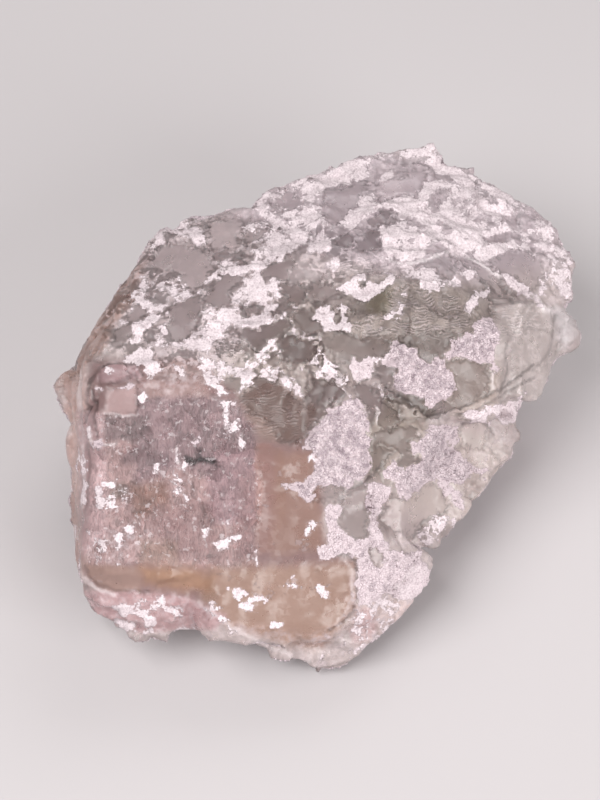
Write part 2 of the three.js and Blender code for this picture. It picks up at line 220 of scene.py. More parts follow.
# The white sugar crust on the side that faces the viewer, as outlines on the viewer's plane in mm. Before
# each outline stands its cover: about 1 is a close crust of grains, less is a bright torn one with more bare
# spots, and from 1.05 it lies over the smooth windows too.
crustOutlines = [
    # upper left
    (0.88, [(-15.7, 15), (-15.5, 16.4), (-15, 17.4), (-13.8, 18.2), (-12.4, 18.3), (-11, 18.4), (-10.1, 17.9),
        (-10.4, 17.4), (-11.6, 17.3), (-12.6, 17.1), (-13.4, 17.6), (-14.2, 17.2), (-14.1, 16.3),
        (-14.9, 15.8)]),
    (0.1, [(-12.8, 18.8), (-10.8, 19.5), (-9.2, 19.8), (-9.4, 19.2), (-11.2, 18.9)]),
    (0.35, [(-18.6, 10.2), (-17.8, 12.2), (-16.6, 13.3), (-15.4, 13.2), (-14.2, 13.3), (-12.2, 13.4),
        (-12.1, 12.2), (-11.6, 11.6), (-10.1, 11.5), (-10.3, 11), (-11.4, 10.8), (-12.4, 10.1), (-13.4, 9.8),
        (-14, 9), (-13.6, 8.2), (-14.2, 7.9), (-15.2, 8.2), (-15.6, 7.6), (-16.8, 7.1), (-17, 6.3),
        (-18, 5.8), (-17.4, 6.8), (-17.9, 7.5), (-19.2, 8.4), (-18.6, 9.2)]),
    (0.85, [(-17.4, 10.9), (-16.2, 11), (-15.6, 10.4), (-14.4, 10.4), (-13.7, 11.6), (-13.4, 12.2),
        (-12.4, 12.3), (-12, 11.5), (-10.4, 11.5), (-10.6, 11), (-12, 10.9), (-12.6, 10), (-13.6, 9.9),
        (-14.6, 9.2), (-15.6, 9), (-16.4, 9.6), (-17, 9.8)]),
    (1.1, [(-17.7, 7.4), (-16.6, 8.2), (-15.6, 8.9), (-14.6, 9.1), (-14.8, 8.4), (-15.6, 7.6), (-16.4, 7.2),
        (-16.9, 6.4), (-17.6, 6.1), (-17.2, 7)]),
    (0.8, [(-14.6, 8), (-13.9, 7.8), (-14, 6.8), (-13.7, 6.1), (-12.8, 6.1), (-11.6, 5.9), (-10.8, 5.4),
        (-11.2, 5.1), (-12.4, 5.5), (-13.8, 5.8), (-15, 5.8), (-15.5, 6.4), (-14.9, 7.2)]),
    (1.1, [(-18.4, 4.1), (-17.6, 5), (-16.8, 5.5), (-15.8, 5.6), (-15.3, 5), (-15.7, 4.2), (-15, 4),
        (-14.5, 3.2), (-15.2, 2.7), (-15.9, 2.2), (-16.4, 2.9), (-16.5, 3.7), (-17.2, 4)]),
    (1.1, [(-13, 3.5), (-12.3, 3.4), (-12.1, 2.6), (-12.7, 2.6)]),
    # the diagonal band and the network under it
    (0.75, [(-9.6, 14.9), (-8.9, 14.1), (-8.3, 14.7), (-7.2, 14.7), (-6.4, 14), (-5.6, 14.3), (-4.7, 15.1),
        (-5.4, 15.9), (-4.4, 16.4), (-2.8, 16.5), (-1.6, 17), (-0.6, 17), (0.3, 16.2), (-0.2, 15.7),
        (-1.2, 15.3), (-2.4, 14.5), (-3.9, 14), (-4, 13.2), (-3.6, 12.6), (-2.6, 12.6), (-2, 12.2),
        (-2, 11.3), (-1.6, 10.6), (-2, 10), (-2.8, 9.3), (-3.6, 9.3), (-4.4, 9.9), (-6.4, 9.8), (-7.6, 10.2),
        (-7.3, 11), (-6.6, 11.6), (-6.1, 12.4), (-6.4, 13.3), (-7.6, 13.4), (-8.6, 12.9), (-9.4, 12.3),
        (-10.2, 11.9), (-9.7, 12.8), (-8.8, 13.6), (-9.3, 14.2)]),
    (0.75, [(-12.6, 6.3), (-11.6, 6.8), (-10.9, 7.2), (-10.5, 8), (-10.6, 9), (-9.8, 9.5), (-8.4, 9.4),
        (-6.8, 9.8), (-5.9, 9.7), (-6, 8.8), (-5.2, 8.6), (-4, 8.8), (-3.5, 9.4), (-3.2, 8.5), (-2, 8.5),
        (-1.2, 9.5), (-0.5, 9.9), (-0.9, 9.2), (-1.6, 8.3), (-3.6, 8.4), (-4.6, 8), (-5.8, 7.6), (-7, 7.6),
        (-8.2, 6.8), (-9, 6.2), (-9.6, 5.2), (-10.6, 5.2), (-11.6, 5.9)]),
    (0.56, [(-3, 6.6), (-2, 6.7), (-1, 7.4), (-1.1, 8.2), (-0.4, 8.4), (-0.2, 7.6), (0.4, 7), (2.2, 7.2),
        (2.4, 6.2), (2.6, 5), (3.2, 4.2), (4.2, 3.2), (4.9, 2.9), (5.2, 2.2), (4.9, 1.2), (5.4, 0.4),
        (4.6, 0.2), (4.4, 1.2), (3.6, 2.2), (2.2, 2.4), (0.9, 2.9), (0.4, 3.6), (0.8, 4.3), (1.4, 4.6),
        (1.3, 5.8), (0.8, 6.4), (-0.6, 6.7), (-1.6, 6.6), (-2.3, 6), (-2.4, 5), (-3.8, 4.8), (-4.6, 5),
        (-3.6, 5.9)]),
    (0.72, [(-5.9, 5.7), (-5.2, 5.7), (-4.8, 4.9), (-4.2, 5), (-2.4, 5), (-3, 4.2), (-4.4, 3.4), (-5.4, 3.2),
        (-5.9, 4), (-5.5, 4.8)]),
    (0.67, [(-11.2, 4.6), (-10.2, 4.8), (-9.6, 4.2), (-9, 3.2), (-8.4, 4.1), (-7.8, 4.2), (-7.2, 3.4),
        (-6.2, 3.6), (-5.2, 3.3), (-4.2, 3.1), (-3, 3.6), (-2, 3.5), (-1.6, 2.7), (-0.2, 2.2), (0.2, 1.2),
        (0.5, 0.2), (-0.4, 0.1), (-1.4, 0.8), (-1.8, 1.8), (-3.6, 2.3), (-4.8, 2.1), (-5.6, 1.6), (-6.2, 0.8),
        (-6.6, -0.1), (-6.9, 0.6), (-6.4, 1.6), (-6.8, 2.3), (-7.6, 2.2), (-8, 1.4), (-7.6, 0.6), (-8.2, 0.2),
        (-9.2, 1.2), (-10, 1.8), (-10.3, 2.8), (-10.8, 3.8)]),
    # the brow above the diagonal band
    (0.62, [(-5.8, 20.8), (-4.4, 20.2), (-3.4, 19), (-5.6, 18.6), (-7.6, 18.4), (-5.4, 17), (-4.8, 16.4),
        (-3, 16.8), (-2, 18.2), (-1.2, 17.4), (0.2, 16.6), (1, 17.4), (1.6, 16), (3.4, 16.6), (4.4, 17.8),
        (3.2, 18.3), (2.6, 19.4), (2.2, 20.4), (2, 21.2), (3, 22), (5, 22.8), (6.4, 23.2), (7.4, 24.2),
        (8.2, 25), (10, 25.6), (12.4, 25.6), (14.6, 25), (15.4, 25.8), (14, 27.4), (11.4, 27), (8, 27),
        (4.6, 25.8), (1.6, 24.2), (-2.2, 22.4)]),
    (0.8, [(-2.4, 19.6), (-1.6, 20.2), (0.4, 20), (1.8, 20.2), (2.2, 19.4), (1.6, 18.6), (0.2, 18.4),
        (-1, 18.6)]),
    (1.1, [(-0.2, 22.4), (1.6, 23.2), (3.2, 24.2), (5, 25), (6.6, 25), (6.8, 24), (5.6, 23.2), (3.6, 22.6),
        (1.8, 21.6), (0.6, 21.4)]),
    # crest and upper right
    (0.88, [(6.2, 21), (6.6, 21.6), (7.6, 21.8), (8.4, 21.8), (8.6, 20.8), (9.8, 21.4), (12.4, 21.6),
        (12.7, 22.6), (13.6, 23), (14.8, 23.6), (13.6, 24.6), (13, 25.4), (14.6, 26.2), (15.6, 25.6),
        (18, 23.9), (20.2, 22.4), (22.6, 21.4), (23.2, 19.8), (22.4, 18), (22.8, 16), (20.6, 15.2),
        (19.4, 14.2), (18, 15.2), (15.6, 15.4), (13.2, 15), (11.6, 14.7), (10.2, 15), (8.6, 15.6), (8.4, 17),
        (8.2, 18.2), (9, 18.6), (10.8, 18.7), (10.2, 19.8), (8.6, 20.2), (7.4, 19.6), (6, 18.2), (4.6, 18),
        (3.6, 18.4), (4.6, 19), (6, 20.4)]),
    (1.1, [(8.3, 22.9), (9, 23.1), (9.9, 23.5), (9.7, 24.1), (8.8, 24.1)]),
    # the middle
    (1.1, [(1.3, 8.5), (1.8, 9.1), (1.6, 9.9), (2.8, 10.2), (3.1, 9.3), (3.7, 9.2), (4.5, 9.8), (4.9, 8.8),
        (5.4, 7.8), (5.2, 7), (4.4, 7.3), (2.6, 7.4), (2.2, 8.2)]),
    (1.1, [(4.1, 11.9), (5.2, 12.2), (6.1, 13.2), (6.8, 13.2), (7.4, 12.4), (8.4, 12.5), (9.7, 13),
        (9.5, 12.1), (8.4, 11.4), (7.4, 10.9), (6.8, 10.4), (6, 10.6), (5.8, 11.3), (4.8, 11.3)]),
    (0.66, [(8.2, 15.3), (9.2, 14.9), (10.2, 14.4), (12, 14.1), (13.6, 13.9), (14.5, 13.5), (14.8, 12.9),
        (15.8, 12.7), (16.6, 13), (17, 12.5), (16, 11.9), (15.6, 11.2), (14.4, 11.6), (13.2, 11.9),
        (12, 12.4), (10.8, 13.2), (9.8, 13.9), (8.6, 14.6), (7.6, 15.2)]),
    (1.1, [(17.2, 13.3), (17.8, 13.8), (18.3, 13.4), (18.2, 12.9), (17.6, 12.8)]),
    (0.85, [(3, 14.2), (3.7, 14.9), (4.3, 14.6), (3.9, 13.8), (3.2, 13.4)]),
    (0.6, [(8.9, 8.3), (9.3, 9.4), (9.9, 10), (10.8, 9.8), (10.4, 9), (9.8, 8.5), (9.3, 7.9), (8.6, 7.2),
        (8.1, 6.9), (8.5, 7.7)]),
    (1.1, [(17.4, 10.4), (18.1, 10.6), (18.2, 11.2), (19.2, 11.8), (19.8, 11.6), (19.6, 10.9), (18.7, 10.7),
        (18.6, 9.8), (18, 8.9), (17.6, 9.4)]),
    (1.06, [(21, 13.2), (22, 13.2), (22.8, 12.4), (23.6, 12), (24.6, 10.8), (25.4, 9.7), (24.4, 10.3),
        (23.2, 11), (22.2, 11.6), (21.4, 12.4)]),
    # patch B, the one to its right, and their links
    (1, [(9.9, 6.1), (11.2, 5.9), (12.4, 5.2), (12.9, 4.3), (13.8, 3.8), (14.8, 4.4), (15.6, 5), (16.2, 5.5),
        (15.7, 6.2), (17.2, 6.8), (18.2, 7.4), (18.6, 8.4), (20, 8.4), (20.8, 7.2), (21.4, 6.6), (20.4, 5.9),
        (20.4, 4.6), (20.8, 3.2), (20.3, 2.8), (20.1, 3.6), (18.4, 4.1), (16.8, 4.6), (15.3, 4.3),
        (15.7, 3.2), (16, 2.2), (16.3, 1.2), (15.7, 0.4), (14.6, -0.2), (13.8, -1.1), (13, 0), (11.8, 0.6),
        (10.4, 0.9), (9.8, 1.6), (9.9, 2.6), (10.5, 3.1), (10, 3.8), (8.6, 4.1), (9.6, 4.8)]),
    # the large patch right of the great cube
    (1, [(4.6, -0.1), (6, 0.3), (6.4, -0.6), (7, -1.4), (7.3, -2.4), (7, -3.2), (7.6, -4.2), (7.2, -5.2),
        (7.7, -6.8), (7, -8), (6, -8.6), (5.2, -9.4), (4.6, -9.2), (2.8, -9), (1.6, -9.2), (1.2, -10.8),
        (0.4, -10.6), (-0.4, -9.6), (-1.8, -9.2), (-1, -8.8), (0.4, -9), (1, -8.2), (1.6, -7), (1.6, -5.8),
        (1, -5), (0.2, -4.6), (1.2, -3.6), (2, -2.6), (2.8, -1)]),
    (1.1, [(0.8, -6), (1.6, -5.8), (1.6, -6.4), (1, -6.5)]),
    # lower right
    (1.02, [(8.8, -7.3), (9.6, -6.8), (10, -5.4), (10.4, -6.8), (11.4, -7), (12.4, -6.8), (12.6, -6.2),
        (11.8, -5.6), (11.4, -4.6), (12.4, -4.4), (13.2, -3.6), (13.6, -2.8), (15.4, -2.8), (16.6, -2.9),
        (16.7, -4), (16.4, -5), (17.2, -6.2), (18.4, -7), (19.8, -7.2), (19.4, -8), (18.2, -7.8), (17, -8.8),
        (15.6, -8.8), (14.4, -8.2), (13.6, -8.6), (12.4, -9.4), (11.6, -10.3), (10.6, -10), (10, -8.8),
        (9, -8.2)]),
    (1.055, [(17, -2), (18.2, -1.2), (19.6, -1.2), (20.6, -1.6), (21.4, -2.4), (22.4, -2.6), (23.2, -0.4),
        (23.6, 0.6), (22.6, 0.2), (21.4, -0.6), (20.4, -0.6), (19.2, -0.9), (20, -2.8), (19.2, -2.2)]),
    (0.95, [(13.8, -8.4), (15.2, -9.6), (16, -10.4), (16.8, -11.6), (17, -12.4), (17.4, -11), (16.6, -9.8),
        (15.4, -8.8), (14.4, -8.2)]),
    (0.75, [(12.2, -14.6), (13.4, -12.8), (15, -12), (16.2, -12.2), (16.6, -12.8), (15, -13.8),
        (13.6, -15.2)]),
    (0.7, [(8, -4.7), (8.6, -3.6), (9.4, -4), (9.6, -4.6), (8.8, -4.8)]),
    # the band right of the great cube
    (1.03, [(6.9, -9), (8.2, -8.8), (9.3, -9.2), (9.4, -9.9), (8.8, -10.8), (8.6, -11.8), (8, -12.6),
        (8.4, -13.6), (9, -14.8), (9.6, -15.9), (11, -16), (12.7, -15.8), (12.7, -16.6), (13.8, -18.2),
        (13.4, -19.4), (12.6, -20.6), (10.6, -21), (8.9, -20.2), (7.4, -21.2), (6.2, -22), (6.1, -20),
        (6.1, -18), (5.8, -16.6), (5, -16), (3.8, -16.4), (3.4, -17), (1.8, -16.9), (1.8, -15.6),
        (2.9, -15.2), (3, -13.6), (2.6, -12), (2.9, -10.9), (4, -10.7), (4.1, -11.8), (4.3, -13.6),
        (5.2, -14.4), (5.8, -15), (7.2, -14.2), (7.5, -12.8), (7, -11)]),
    # flecks on the great cube
    (0.85, [(0.5, -13), (1, -12.5), (1.5, -13.2), (1.2, -14), (0.6, -14.2)]),
    (1.1, [(1.8, -19.5), (2.5, -19.5), (3, -20.8), (2.6, -20.9), (2.1, -20)]),
    (1.1, [(-9.1, -14.9), (-8.4, -14.9), (-7.6, -14.4), (-6.8, -14.1), (-6.1, -14.2), (-6.4, -14.8),
        (-7.6, -15.3), (-8.6, -15.7), (-8.9, -15.3)]),
    (1.1, [(-5.2, -16.1), (-4.8, -15.8), (-4.5, -17.2), (-4.9, -17.5)]),
    (0.6, [(-0.9, -18.1), (-0.5, -18.6), (-0.1, -19.6), (-1.2, -19.9), (-1.5, -19.5)]),
    (0.7, [(-7.4, -19.8), (-6.2, -19.8), (-6, -20.4), (-7.2, -20.5)]),
    (0.55, [(-7, -21.4), (-5.6, -20.9), (-4.2, -20.3), (-3.1, -21.3), (-4.2, -21.4), (-4.1, -22.4),
        (-6.8, -22)]),
    (0.45, [(-10.6, -21.4), (-9, -20.9), (-8.2, -22.2), (-7.2, -23.8), (-7.8, -24), (-9.6, -22.8)]),
    (1.1, [(-3.1, -23.4), (-1.7, -23.6), (-2, -24.1), (-2.9, -24)]),
    (0.35, [(-7.2, -24), (-4.8, -24.4), (-4, -25.6), (-5.6, -25.2)]),
    (0.15, [(-0.6, -25.8), (1.6, -26.2), (3.4, -26.6), (2, -27), (0, -26.6)]),
    (1.15, [(-19.8, -21.6), (-17.8, -21.5), (-17.4, -22.4), (-18.6, -22.8)]),
    (1.15, [(-16.2, -22.9), (-15.4, -22.8), (-15.2, -23.6), (-16, -23.8)]),
    (1.1, [(-14.6, -20.6), (-14.3, -21.7), (-13, -21.8), (-12.6, -22.4), (-13.6, -22.6), (-14.8, -22)]),
    (0.75, [(-12.6, -7), (-11.7, -6.8), (-11.4, -7.6), (-12.2, -8.8), (-13.2, -8.8), (-13.3, -8.3),
        (-12.4, -8)]),
    (0.5, [(-13, -5), (-12.8, -5), (-12.6, -6.8), (-13, -6.9)]),
    (0.95, [(-11.4, -4.4), (-10.4, -3.6), (-10.6, -4.3), (-11.3, -4.6)]),
    (0.86, [(-21.3, -9.2), (-20.8, -9.4), (-20.6, -11.2), (-21.2, -11.7)]),
    (1.1, [(-20.8, -8.8), (-19.4, -8.7), (-19.6, -9.4), (-20.6, -9.2)]),
    (0.25, [(-22.6, -13.8), (-19.4, -13.9), (-19.2, -15), (-17.8, -16.2), (-18.4, -17.2), (-21.6, -17.2),
        (-22.6, -15.4)]),
    (0.95, [(-21.8, 1.3), (-21, 1.5), (-20.8, 1), (-21.5, 0.9)]),
    (1.1, [(-20.6, 3), (-20.2, 3.5), (-19.7, 3), (-20.2, 2.7)]),
    (1, [(-19.9, 1), (-18.6, 1.4), (-17.2, 1.8), (-17.8, 1.2), (-19.2, 0.9)]),
    (1, [(-21.6, -4.6), (-20.8, -4.2), (-20.4, -4.9), (-21.4, -5)]),
    # the hem below the great cube
    (0.75, [(-14.8, -20.3), (-13.8, -20.2), (-14.3, -20.9), (-14.2, -21.5), (-13.6, -22), (-12.8, -22.1),
        (-12.5, -22.6), (-13, -22.8), (-13.8, -22.5), (-14.6, -21.9), (-14.9, -21.1)]),
    (0.45, [(-19.6, -21.2), (-17.4, -20.9), (-15.2, -20.5), (-14.8, -21.6), (-15, -22.4), (-16.2, -23.2),
        (-17.6, -22.6), (-19.4, -22)]),
    (0.6, [(-20, -23), (-18.4, -23.2), (-17, -24), (-14.8, -24.3), (-12.4, -24.2), (-10.8, -23.7),
        (-11, -24.2), (-13, -24.8), (-16, -24.8), (-18.4, -24.2)]),
    (0.8, [(-8.2, -19.8), (-7, -19.7), (-6.1, -20), (-6.3, -20.8), (-7, -20.9), (-7.4, -20.3)]),
    (0.2, [(-8.2, -23.4), (-6.6, -23.7), (-4.4, -24.9), (-3.8, -25.8), (-5.6, -25.2), (-7.8, -24.4)]),
    (1.05, [(13.6, -18.8), (12.6, -20.6), (10.6, -21), (9.2, -19.6), (11, -17.6), (12.6, -16.8),
        (13.6, -17.8)]),
    # bright flecks on the great cube and the glassy strip beside it
    (1.1, [(-23.2, -5.6), (-22.6, -5.4), (-22.4, -6.6), (-22.5, -7.6), (-22.9, -7.5), (-23.2, -6.8)]),
    (1.1, [(-22.6, -8.5), (-22.3, -8.7), (-22.5, -9.8), (-22.7, -11), (-23, -11.1), (-22.9, -9.6)]),
    (1.1, [(-22.3, -2.9), (-22, -3), (-21.9, -4), (-22.2, -4.1)]),
    (1.1, [(-23.7, -13.5), (-23.4, -13.4), (-23.5, -14.5), (-23.7, -14.5)]),
    (0.82, [(-7.9, -0.4), (-7.4, -0.2), (-7.6, -1.4), (-7.4, -2.6), (-7.9, -2.9), (-8.1, -1.6)]),
    (1.1, [(-6.5, -3.6), (-5.8, -4.3), (-6.1, -5.1), (-6.6, -4.7)]),
    (1.1, [(-10.4, -13.5), (-9.8, -13.4), (-9.6, -14), (-10.2, -14.2)]),
    (1.1, [(-7.7, -12.8), (-7.2, -12.9), (-7.2, -13.9), (-7.6, -13.9)]),
    (1.1, [(-12.3, -9.8), (-11.6, -10), (-11.7, -10.7), (-12.3, -10.6)]),
    (1.1, [(-19.6, -14.1), (-18.8, -14), (-18.7, -14.8), (-19.4, -15.1)]),
    (1.1, [(-18.4, -13.2), (-17.4, -13.4), (-17.6, -13.9), (-18.4, -13.8)]),
    (1.1, [(-15.4, -6.9), (-14.8, -6.7), (-14.7, -7.3), (-15.2, -7.4)]),
    (1.1, [(-16.9, 0.4), (-16.2, 0.9), (-16, 0.1), (-16.6, -0.4)]),
    (0.66, [(-3.4, 15.6), (-4.2, 16.6), (-2.6, 17.6), (-2, 18.4), (-0.2, 18.6), (1.8, 18.2), (3.2, 17.6),
        (3.6, 16.2), (2.6, 15.2), (1.2, 15.4), (0.2, 16.2), (-1, 16.2), (-2.2, 15.6)]),
    (0.94, [(5.4, 4.5), (6.2, 4.2), (7.4, 4.7), (7.7, 3.4), (7.6, 2.4), (6.4, 2), (5.8, 2.2), (5.5, 3.2)]),
    (0.6, [(7.6, 4.4), (8.8, 4.6), (9.8, 5.4), (10, 4.4), (8.8, 4.2), (7.6, 4)]),
    (0.78, [(7.8, 1.9), (8.6, 1.4), (9, 0.4), (8.4, 0), (8.2, 0.9), (7.6, 1.6)]),
    (0.64, [(-15.2, 12.6), (-13.4, 12.9), (-12.4, 12), (-12.6, 11.2), (-14, 11), (-15.4, 11.6)]),
    (0.5, [(-12.4, 16.8), (-12, 18.4), (-10.4, 19.2), (-9.6, 18), (-9.8, 16.8), (-11, 16.4)]),
    (0.52, [(9, 8.2), (9.6, 9.6), (10.2, 10.8), (11.2, 11.8), (11.7, 11.2), (11, 9.9), (10.8, 8.8),
        (9.8, 8)]),
    (0.6, [(20.9, 13.3), (21.8, 13.2), (23.2, 12.4), (24.6, 11.4), (25.2, 10.6), (24.4, 10.7), (22.8, 11.7),
        (21.4, 12.4)]),
    (0.48, [(-13.5, -6.6), (-12.4, -6.4), (-11.2, -6.9), (-11.1, -8.6), (-12, -10.6), (-12.8, -9.8),
        (-13.7, -8.6)]),
    (0.28, [(-8.8, 0), (-6.6, -0.2), (-6.2, -3), (-8, -4.4), (-9, -2.6)]),
    (0.45, [(-19.8, -9), (-17.8, -9.4), (-18.4, -11.6), (-20.2, -11.9), (-20.6, -10.2)]),
    (0.5, [(22.6, 21.4), (25.2, 20.8), (26.4, 19.6), (26.8, 17.8), (29, 16), (29.8, 14.2), (29.2, 11.8),
        (28.4, 10.2), (27.4, 11), (26.4, 11.6), (25.6, 11), (25, 10.6), (24, 11.4), (25.2, 12.2),
        (25.6, 13.2), (25.2, 14.8), (23.6, 15.8), (22.8, 16), (22.4, 18), (23.2, 19.8)]),
    (0.32, [(12.6, -20.6), (10.6, -21), (8.9, -20.2), (7.2, -21.2), (6.2, -22.2), (5.4, -24.2), (4.6, -26.6),
        (5.8, -27), (8, -25.8), (9.2, -24.8), (10.5, -23)]),
    (0.7, [(-13.6, 18), (-12.8, 19.2), (-10.8, 19.6), (-10, 19), (-11.4, 18.2)]),
]

# Bare crystal that shows through those outlines.
windowOutlines = [
    [(13.8, 21.4), (14.4, 22), (15.4, 22.1), (15.5, 21.4), (14.8, 20.8), (14.7, 20), (14, 20.1)],
    [(11, 18.4), (11.8, 19.2), (12.5, 18.8), (13, 18.1), (11.6, 18.4)],
    [(14.2, 18.8), (15, 18.8), (16.1, 17.7), (15.5, 17.8)],
    [(18.2, 18.9), (19, 19.5), (19.8, 19.4), (20.4, 18.7), (20.1, 18), (19.7, 19)],
    [(21.2, 19.3), (22.2, 19.2), (23.8, 18.9), (23.6, 18.3), (22.5, 18.2)],
    [(23.8, 20), (24.8, 20.5), (26, 20.3), (26.4, 19.2), (26, 18.6), (24.2, 19.2)],
    [(19.4, 17.2), (20.4, 17.5), (22.5, 17.5), (23.2, 16.9), (23.3, 16.2), (22.2, 16.9), (20, 16.9)],
    [(24.7, 16), (25.4, 15.9), (26.4, 14.2), (26.2, 13.5), (25.6, 14.2), (25.2, 15.2)],
    [(13.1, 15.4), (13.7, 16.2), (14.8, 16.3), (15.5, 15.4), (14.4, 15)],
    [(18.6, 23), (19.4, 22), (20.6, 21.4), (21, 20.4), (20.4, 20.8), (19.2, 21.6), (18.4, 22.4)],
    [(15, 23.6), (16.6, 23), (17.6, 22), (16.4, 22.6), (15.2, 23.2)],
    [(3.4, 8.9), (4, 9.2), (4.4, 8.8), (4.1, 8.1), (3.5, 8.3)],
    [(5.9, 12.6), (6.4, 12.9), (6.8, 12.4), (6.3, 11.9)],
    [(-9.1, 3.5), (-8.6, 3.2), (-8.8, 2.5), (-9.3, 2.8)],
    [(-13, 11.7), (-12.7, 11.9), (-12.5, 11.6), (-12.8, 11.3)],
    [(7, -15.4), (8.2, -15.6), (8.9, -16.3), (8.7, -17), (7.9, -17.4), (7.2, -16.8)],
    [(12.2, -5.4), (12.8, -5.8), (12.6, -6.3), (12, -6)],
    [(15.6, -4.4), (16.3, -4.2), (16.2, -5), (15.7, -5.1)],
    [(7.4, 14.9), (8.2, 15.2), (9, 14.5), (10, 14.2), (11.2, 13.7), (11.7, 13.2), (10.4, 13.2), (9.2, 13.6),
        (8.4, 13.2), (7.2, 13.6)],
    [(21.2, 19.2), (22.4, 19.5), (23.6, 19), (24.6, 18.4), (23.8, 17.8), (22.6, 18.3), (21.6, 18.7)],
    [(24.9, 16.1), (25.6, 16), (26.2, 15), (26.4, 14), (25.8, 13.6), (25.5, 14.6)],
]
